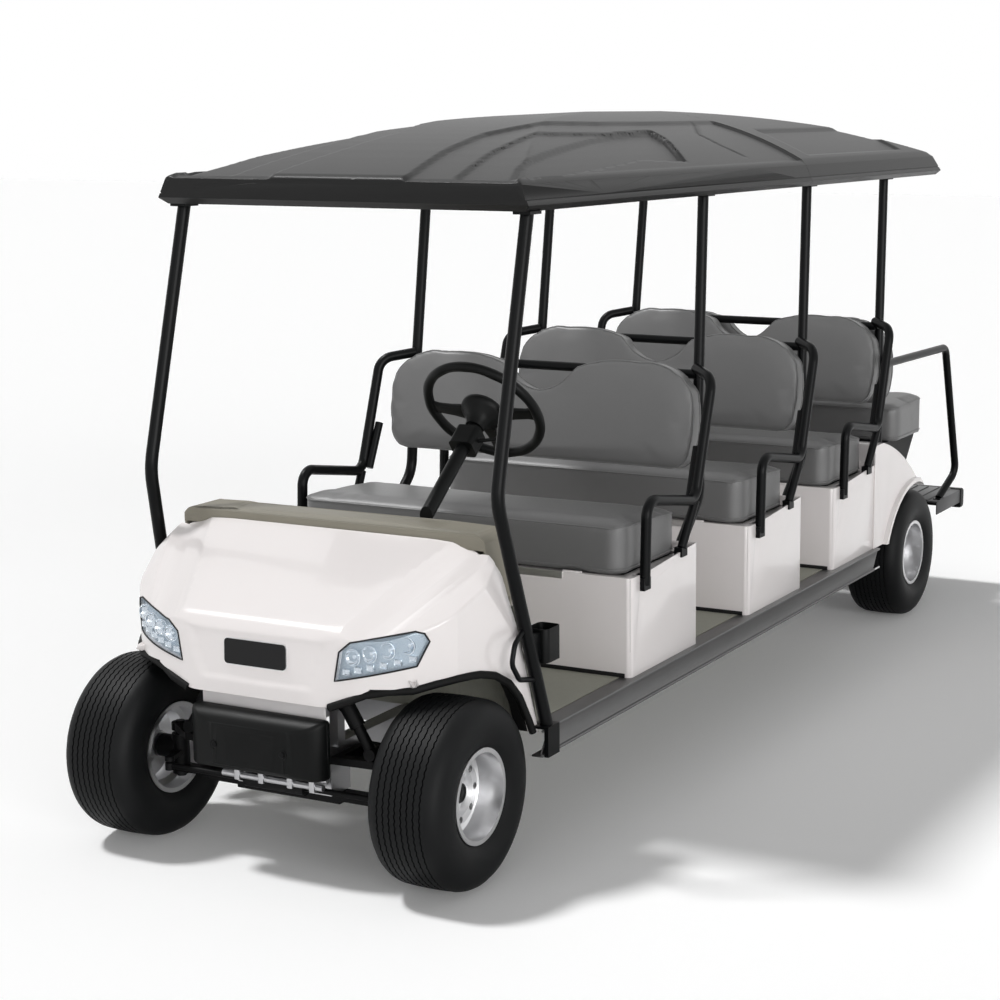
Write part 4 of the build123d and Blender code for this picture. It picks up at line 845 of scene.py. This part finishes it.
class CART_OT_wheels(bpy.types.Operator):
    """Moulds the four ribbed tyres and fits the hub caps"""
    bl_idname = "cart.wheels"
    bl_label = "Tyres and hub caps"

    def section(self, depth):
        """The tyre's whole section, bead to bead over the ribbed tread"""
        def crown(x):
            return 250 - (x / 80) ** 2 * 3.5
        tread = [(66.5, crown(66.5))]
        for x in GROOVES:
            top, foot = crown(x), crown(x) - depth
            tread += [(x + 2.2, top), (x + 1.4, foot), (x - 1.4, foot), (x - 2.2, top)]
        half = list(TYRE_SIDE) + tread
        whole = half + [(-x, r) for x, r in reversed(half)]
        return metres(whole + [(-82, 122), (82, 122)])

    def execute(self, context):
        first = centre_of("tyre_front_left")
        steps = 156
        tyre = turned(self.section(context.scene.cart_sizes.rib_depth / MM), first, (1, 0, 0), steps, closed=True)
        for vertex in tyre.data.vertices:
            across = vertex.co.x - first.x
            y, z = vertex.co.y - first.y, vertex.co.z - first.z
            if math.hypot(y, z) > 0.241 and abs(across) < 0.068:
                turn = round(math.atan2(z, y) / math.tau * steps)
                vertex.co.x += 0.0016 if turn % 2 else -0.0016
        smooth(tyre, 40)
        for wheel in WHEELS:
            copy = shifted(duplicate(tyre), centre_of("tyre_" + wheel) - first)
            dress(copy, "Tyre_" + wheel, "wheel_" + wheel, "tyre")
            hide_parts("tyre_" + wheel)
            self.cap(wheel)
        bpy.data.objects.remove(tyre)
        return {"FINISHED"}

    def cap(self, wheel):
        """A domed black dust cap over the hub"""
        sign = 1 if wheel.endswith("left") else -1
        low, high = box_of("rim_" + wheel)
        base = Vector((centre_of("tyre_" + wheel).x, *((low + high) / 2).yz))
        profile = metres(((10, 0), (10, 26.5), (34, 26.5), (37, 24.5), (38.5, 21), (36.5, 17), (36.5, 10), (37.5, 6),
                          (37.5, 0)))
        cap = turned(profile, base, (sign, 0, 0), 48)
        dress(cap, "Hub_cap_" + wheel, "wheel_" + wheel, "black", 30)


# ---------------------------------------------------------------- upholstery
# a backrest's half width, its height, and where its humps and its notch lie, in millimetres
BACK_HALF, BACK_TOP, HUMP, NOTCH = 554, 338, 288, 98
BLOW_FRAMES = 20


def back_outline():
    """A backrest's twin-humped outline seen from the front, in millimetres across and up its face."""
    side, top = BACK_HALF, BACK_TOP
    half = [(side - 75, 0)] + arc((side - 75, 0), (side - 34, 14), (side - 12, 50)) \
        + arc((side - 12, 50), (side, 145), (side - 8, 240)) \
        + arc((side - 8, 240), (side - 70, top - 34), (HUMP + 70, top - 3)) \
        + arc((HUMP + 70, top - 3), (HUMP - 40, top - 1), (NOTCH + 35, top - 28)) \
        + arc((NOTCH + 35, top - 28), (NOTCH - 22, top - 80), (0, top - 106))
    return half + [(-x, w) for x, w in reversed(half[:-1])]


def bounds_of(obj):
    corners = [Vector(vertex.co) for vertex in obj.data.vertices]
    return (Vector(min(c[i] for c in corners) for i in range(3)), Vector(max(c[i] for c in corners) for i in range(3)))


def puffed(node, cell=0.010, draw_in=0.004):
    """A cover over foam: the form drawn in a little, blown up as cloth, and held to the set swell."""
    pad = copy_of(node)
    low, _ = bounds_of(pad)
    cells = pad.modifiers.new("Cells", "REMESH")
    cells.mode, cells.voxel_size = "VOXEL", cell
    apply_all(pad)
    ease = pad.modifiers.new("Ease", "SMOOTH")
    ease.factor, ease.iterations = 0.5, 3
    apply_all(pad)
    start = [vertex.co.copy() for vertex in pad.data.vertices]
    for vertex, normal in zip(pad.data.vertices, [n.vector.copy() for n in pad.data.vertex_normals]):
        vertex.co -= normal * draw_in
    scene = bpy.context.scene
    air = pad.modifiers.new("Air", "CLOTH")
    air.settings.quality, air.settings.mass = 4, 0.3
    air.settings.use_pressure, air.settings.uniform_pressure_force = True, 4.0
    air.settings.effector_weights.gravity = 0
    air.settings.tension_stiffness = air.settings.compression_stiffness = 12
    air.settings.bending_stiffness = 0.6
    air.point_cache.frame_start, air.point_cache.frame_end = 1, BLOW_FRAMES
    for step in range(1, BLOW_FRAMES + 1):
        scene.frame_set(step)
    apply_all(pad)
    scene.frame_set(1)
    most = bpy.context.scene.cart_sizes.puff
    for vertex, first in zip(pad.data.vertices, start):
        moved = vertex.co - first
        if moved.length > most:
            vertex.co = first + moved.normalized() * most
    ease = pad.modifiers.new("Ease", "SMOOTH")
    ease.factor, ease.iterations = 0.5, 2
    apply_all(pad)
    for vertex in pad.data.vertices:
        vertex.co.z = max(vertex.co.z, low.z)
    smooth(pad, 60)
    return pad


def seam_on(pad, places, radius):
    """Piping sewn along the cover: each place is drawn onto its nearest point."""
    line = []
    for place in places:
        _, spot, normal, _ = pad.closest_point_on_mesh(place)
        line.append(spot + normal * radius * 0.35)
    return piped(line, radius)


class CART_OT_upholstery(bpy.types.Operator):
    """Upholsters the four benches and their backrests"""
    bl_idname = "cart.upholstery"
    bl_label = "Cushions and backrests"

    def execute(self, context):
        radius = context.scene.cart_sizes.seam / 2
        for rows in ((1, 2, 3), (4,)):
            first = rows[0]
            cushion = puffed(f"seat_cushion_{first}")
            low, high = box_of(f"seat_cushion_{first}")
            loops = []
            for z in (high.z - 0.012, low.z + 0.014):
                outline = denser(rounded_rectangle((low.x, low.y), (high.x, high.y), 0.05, 8), 0.02)
                loops.append([Vector((x, y, z)) for x, y in outline])
            seams = join([seam_on(cushion, loop, radius) for loop in loops])
            back = puffed(f"seat_back_{first}")
            edges = join([seam_on(back, loop, radius) for loop in self.back_loops(first)])
            for row in rows:
                move = Vector(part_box(f"seat_cushion_{row}")[0]) - low
                self.place(cushion, move, f"Cushion_{row}", f"bench_{row}", f"seat_cushion_{row}", True)
                self.place(seams, move, f"Cushion_piping_{row}", f"bench_{row}", None, False)
                move = Vector(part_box(f"seat_back_{row}")[0]) - Vector(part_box(f"seat_back_{first}")[0])
                self.place(back, move, f"Backrest_{row}", "cart", f"seat_back_{row}", True)
                self.place(edges, move, f"Backrest_piping_{row}", "cart", None, False)
            for obj in (cushion, seams, back, edges):
                bpy.data.objects.remove(obj)
        return {"FINISHED"}

    def place(self, source, move, name, body, node, padded):
        piece = shifted(duplicate(source), move)
        dress(piece, name, body, "vinyl")
        if node:
            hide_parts(node)

    def back_loops(self, row):
        """The front and rear edges of a backrest, a little outside its cover"""
        low, high = box_of(f"seat_back_{row}")
        lean = math.radians(-2 if row == 4 else 8)
        thick = 0.056 if row == 4 else 0.072
        height = BACK_TOP * MM
        loops = []
        for share in (0.12, 0.88):
            points = []
            for u, w in denser(metres(back_outline()), 0.015):
                if row == 4:
                    base = Vector((0, high.y - thick * share, low.z))
                    points.append(base + Vector((u, -(height - w) * math.sin(-lean) , w * math.cos(lean))))
                else:
                    base = Vector((0, low.y + thick * share, low.z + (1 - share) * thick * math.sin(lean)))
                    points.append(base + Vector((u, w * math.sin(lean), w * math.cos(lean))))
            loops.append(points)
        return loops


# ---------------------------------------------------------------- steering wheel
# the rim's radius, its grip's radius, half a spoke's thickness, and the column's lean
HELM_R, GRIP_R, SPOKE_HALF = 0.172, 0.0145, 0.006
HELM_LEAN = Matrix(((1, 0, 0), (0, 0.6157, 0.788), (0, -0.788, 0.6157)))


class CART_OT_helm(bpy.types.Operator):
    """Builds the padded steering wheel with its boss and three spokes"""
    bl_idname = "cart.helm"
    bl_label = "Steering wheel"

    def execute(self, context):
        place = Matrix.Translation(on_cart(222, 650.7, 1143)) @ HELM_LEAN.to_4x4()
        rim = primitive("torus", major_radius=HELM_R, minor_radius=GRIP_R, major_segments=112, minor_segments=18)
        for vertex in rim.data.vertices:
            angle = math.atan2(vertex.co.y, vertex.co.x)
            flat = Vector((math.cos(angle), math.sin(angle), 0)) * HELM_R
            swell = 1 + 0.05 * math.cos(12 * angle)
            vertex.co = flat + (vertex.co - flat) * (swell if vertex.co.z < 0 else 1)
        dish = metres(((-70, 0), (-70, 27), (-52, 31), (-34, 40), (-22, 58), (-10, 66), (-1, 66), (4, 62), (9, 45),
                       (11, 24), (11.5, 0)))
        boss = turned(dish, (0, 0, 0), (0, 0, 1), 64)
        spokes = []
        wide = ((40, -30), (95, -21), (140, -18), (172, -24), (172, 24), (140, 18), (95, 20), (40, 30))
        low = ((-24, 40), (-17, 95), (-17, 140), (-26, 172), (26, 172), (17, 140), (17, 95), (24, 40))
        for outline in (wide, [(-x, y) for x, y in reversed(wide)], low):
            spoke = outline_block(denser(metres(outline), 0.02), "XY", (-SPOKE_HALF, SPOKE_HALF))
            for vertex in spoke.data.vertices:
                reach = math.hypot(vertex.co.x, vertex.co.y)
                vertex.co.z -= 0.012 * max(0.0, 1 - (reach - 0.04) / 0.12)
            bevel_edges(spoke, 0.0035, 3, 40)
            spokes.append(spoke)
        wheel = join([rim, boss, *spokes])
        wheel.data.transform(place)
        dress(wheel, "Steering_wheel", "helm", "black", 40)
        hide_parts("steering_wheel")
        return {"FINISHED"}


# ---------------------------------------------------------------- shells
class CART_OT_shells(bpy.types.Operator):
    """Rounds the edges of the moulded and folded panels"""
    bl_idname = "cart.shells"
    bl_label = "Body panels"

    def execute(self, context):
        edge = context.scene.cart_sizes.edge_round
        for row in (1, 2, 3):
            softened(f"seat_base_{row}", edge * 0.7, "cart", "body")
        softened("rear_body", edge * 0.8, "cart", "body")
        softened("lower_front_panel", 0.004, "cart", "panel")
        softened("front_bumper", 0.010, "cart", "black", 4)
        softened("rear_bumper", 0.006, "cart", "black")
        softened("cup_holders", 0.002, "cart", "black")
        softened("sills", 0.002, "cart", "sill", 2)
        softened("rear_footrest", 0.003, "cart", "step", 2)
        self.dash()
        return {"FINISHED"}

    def dash(self):
        """The dash falls away behind its front edge"""
        piece = copy_of("dashboard")
        low, high = bounds_of(piece)
        for vertex in piece.data.vertices:
            if vertex.co.z > high.z - 0.004:
                vertex.co.z -= 0.013 + 0.034 * (vertex.co.y - low.y) / (high.y - low.y)
        bevel_edges(piece, 0.006, 3, 30)
        dress(piece, "Dashboard", "cart", "dash", 40)
        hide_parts("dashboard")


# ---------------------------------------------------------------- trim
ARCH_LIP = ((-152, 485, 222), (-150, 505, 275), (-128, 520, 319), (-106, 527, 372), (-79, 535, 428), (-36, 545, 470),
            (18, 550, 507), (60, 551, 522), (92, 549, 534), (138, 537, 552), (184, 507, 569), (219, 461, 582),
            (250, 393, 593), (264, 355, 599))


class CART_OT_trim(bpy.types.Operator):
    """Adds the arch lips, hinge strips, sill edges, bolts, tread bars and cross tubes"""
    bl_idname = "cart.trim"
    bl_label = "Trim and fasteners"

    def execute(self, context):
        self.arch_lips()
        self.hinge_strips()
        self.sill_edges()
        self.bumper_bolts()
        self.step_trim()
        self.frame_tubes()
        return {"FINISHED"}

    def arch_lips(self):
        """The black lip of each arch liner, standing just under the cowl's edge"""
        cowl = bpy.data.objects["Front_cowl"]
        for sign, side in ((1, "left"), (-1, "right")):
            line = []
            for y, z, x in ARCH_LIP:
                place = on_cart(sign * x, y, z)
                _, spot, _, _ = cowl.closest_point_on_mesh(place)
                line.append(place * 0.25 + spot * 0.75 + Vector((0, 0, -0.006)))
            lip = piped(denser([tuple(p) for p in line], 0.012, False), 0.0105, closed=False, sides=4)
            dress(lip, f"Arch_lip_{side}", "cart", "liner")

    def hinge_strips(self):
        """A bright folded strip under each front cushion's edge, and a thin black block under each base as painted
        shadow, standing in for the shade where the base meets the floor
        """
        for row in (1, 2, 3):
            low, high = box_of(f"seat_base_{row}")
            y, top = low.y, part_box(f"seat_cushion_{row}")[0][2]
            strip = join([pressed_block((x, y - 0.0025, top - 0.020), (x + 0.167, y + 0.0005, top + 0.001), 0.0008,
                                        0.0008, 0.002) for x in (0.205, -0.372)])
            dress(strip, f"Hinge_strips_{row}", "cart", "bright", 40)
            # painted shadow: a thin black block along each base's foot, in the black rubber seal's material, stands in
            # for the shade along the floor
            foot = pressed_block((low.x + 0.02, y - 0.003, low.z), (high.x - 0.02, y + 0.001, low.z + 0.012), 0.001)
            dress(foot, f"Base_seal_{row}", "cart", "gasket")

    def sill_edges(self):
        """Bright rolled edges along the top and foot of both rocker channels"""
        low, high = box_of("sills")
        beads = []
        for sign in (1, -1):
            for z in (high.z - 0.004, low.z + 0.004):
                x = sign * (high.x - 0.0035)
                beads.append(piped([(x, low.y + 0.004, z), (x, high.y - 0.004, z)], 0.0035, closed=False, sides=3))
        rail = join(beads)
        dress(rail, "Sill_edges", "cart", "bright")

    def bumper_bolts(self):
        """Two round washer-headed bolts in the bumper's face"""
        bumper = bpy.data.objects["Front_bumper"]
        head = metres(((4, 0), (4, 6), (3, 7.5), (0, 8), (0, 14), (-3, 14.5), (-6, 14.5), (-6, 0)))
        bolts = []
        for x, z in ((-0.110, 0.349), (0.104, 0.349)):
            bolts.append(turned(head, ray_onto(bumper, x, z), (0, -1, 0), 24))
        piece = join(bolts)
        dress(piece, "Bumper_bolts", "cart", "chassis", 30)

    def step_trim(self):
        """Raised tread bars on the rear footrest"""
        bars, top = [], 0.4105
        for i in range(22):
            x = -0.50 + i * (1.0 / 21)
            ends = [(x, AXLE_Y + y, top) for y in (3.70, 3.965)]
            bars.append(piped(ends, 0.003, closed=False, sides=1))
        tread = join(bars)
        dress(tread, "Step_tread", "cart", "gasket")

    def frame_tubes(self):
        """Bright cross tubes and their clamps at the front of the chassis"""
        pieces = []
        for z, half in ((0.262, 0.175), (0.238, 0.160)):
            ends = [on_cart(sign * half / MM, -96, z / MM) for sign in (-1, 1)]
            pieces.append(piped(ends, 0.009, closed=False, sides=4))
        for x in (-109, -32, 60, 130):
            low = on_cart(x - 9, -108, 226)
            pieces.append(pressed_block(low, low + Vector((0.018, 0.024, 0.048)), 0.003))
        piece = join(pieces)
        dress(piece, "Front_cross_tubes", "cart", "frame_metal", 40)


# how strongly the white surroundings light the cart, and how much whiter the floor looks to the camera
SKY_LIGHT, FLOOR_LIFT = 0.25, 0.05
# name, strength, width in degrees, direction
SUNS = (("Key", 2.1, 8, (0.55, 0.12, -1.0)),
        ("Front_fill", 0.5, 50, (-0.30, 0.95, -0.06)),
        ("Side_fill", 2.1, 40, (-0.85, 0.52, -0.08)))
# the camera's place, its two directions, its lens in millimetres and its shifts
CAMERA_PLACE, CAMERA_FORWARD = (3.2337, -6.4272, 1.9923), (-0.44442, 0.88018, -0.16668)
CAMERA_RIGHT, CAMERA_LENS, CAMERA_SHIFT = (0.89278, 0.45049, -0.00157), 76.87, (-0.1075, -0.0332)


class CART_OT_stage(bpy.types.Operator):
    """Makes the floor, the lights and the camera"""
    bl_idname = "cart.stage"
    bl_label = "Studio"

    def execute(self, context):
        scene = context.scene
        scene.view_settings.view_transform = "Standard"
        floor = primitive("plane", size=80)
        floor.name = "Studio_floor"
        material, tree, shader, _ = new_material("Studio floor paper")
        set_shader(shader, Base_Color=linear(scene.cart_colours.backdrop), Roughness=0.9, Specular_IOR_Level=0.0,
                   Emission_Color=(1, 1, 1, 1))
        path = add_node(tree, "ShaderNodeLightPath")
        lift = add_node(tree, "ShaderNodeMath", {"operation": "MULTIPLY"}, {0: (path, "Is Camera Ray"), 1: FLOOR_LIFT})
        tree.links.new(lift.outputs[0], shader.inputs["Emission Strength"])
        floor.data.materials.append(material)
        world = bpy.data.worlds.new("Studio")
        scene.world = world
        world.use_nodes = True
        tree = world.node_tree
        tree.nodes.clear()
        path = add_node(tree, "ShaderNodeLightPath")
        seen = add_node(tree, "ShaderNodeMath", {"operation": "MAXIMUM"},
                        {0: (path, "Is Camera Ray"), 1: (path, "Is Glossy Ray")})
        seen = add_node(tree, "ShaderNodeMath", {"operation": "MAXIMUM"},
                        {0: (seen, "Value"), 1: (path, "Is Transmission Ray")})
        strength = add_node(tree, "ShaderNodeMapRange",
                            inputs={"Value": (seen, "Value"), "To Min": SKY_LIGHT, "To Max": 1.0})
        light = add_node(tree, "ShaderNodeBackground", inputs={"Color": (1, 1, 1, 1), "Strength": (strength, "Result")})
        add_node(tree, "ShaderNodeOutputWorld", inputs={"Surface": (light, "Background")})
        for name, energy, spread, direction in SUNS:
            self.sun(name, energy, spread, direction)
        panel = bpy.data.lights.new("Cabin_fill", "AREA")
        panel.shape, panel.size, panel.size_y, panel.energy = "RECTANGLE", 1.0, 2.9, 8.0
        holder = new_object("Cabin_fill", panel)
        holder.location, holder.visible_camera = (0, 0.05, 1.715), False
        self.camera(scene)
        return {"FINISHED"}

    def sun(self, name, energy, spread, direction):
        """A distant lamp of the given width, shining along a direction"""
        lamp = bpy.data.lights.new(name, "SUN")
        lamp.energy, lamp.angle = energy, math.radians(spread)
        new_object(name, lamp).rotation_euler = Vector(direction).to_track_quat("-Z", "Y").to_euler()

    def camera(self, scene):
        """The viewing place: about 27 degrees to the left of dead ahead, 10 degrees up"""
        lens = bpy.data.cameras.new("Camera")
        lens.lens, lens.sensor_width, lens.clip_end = CAMERA_LENS, 36.0, 200
        lens.shift_x, lens.shift_y = CAMERA_SHIFT
        forward, right = Vector(CAMERA_FORWARD).normalized(), Vector(CAMERA_RIGHT).normalized()
        turn = Matrix((right, right.cross(forward), -forward)).transposed()
        scene.camera = new_object("Camera", lens)
        scene.camera.matrix_world = Matrix.Translation(CAMERA_PLACE) @ turn.to_4x4()


class CART_PT_panel(bpy.types.Panel):
    """Lists the cart's pieces"""
    bl_label = "Golf cart"
    bl_idname = "CART_PT_panel"
    bl_space_type = "VIEW_3D"
    bl_region_type = "UI"
    bl_category = "Cart"

    def draw(self, context):
        for operator in OPERATORS:
            self.layout.operator(operator.bl_idname)
        for settings in (context.scene.cart_sizes, context.scene.cart_colours):
            for name in settings.__annotations__:
                self.layout.prop(settings, name)


OPERATORS = (CART_OT_paint, CART_OT_cowl, CART_OT_roof, CART_OT_shells, CART_OT_wheels, CART_OT_helm,
             CART_OT_upholstery, CART_OT_trim, CART_OT_stage)
CLASSES = (CartSizes, CartColours, *OPERATORS, CART_PT_panel)


def register():
    for cls in CLASSES:
        bpy.utils.register_class(cls)
    bpy.types.Scene.cart_sizes = PointerProperty(type=CartSizes)
    bpy.types.Scene.cart_colours = PointerProperty(type=CartColours)


def unregister():
    del bpy.types.Scene.cart_colours
    del bpy.types.Scene.cart_sizes
    for cls in reversed(CLASSES):
        bpy.utils.unregister_class(cls)


def main():
    register()
    for operator in OPERATORS:
        group, name = operator.bl_idname.split(".")
        getattr(getattr(bpy.ops, group), name)()


if __name__ == "__main__":
    main()
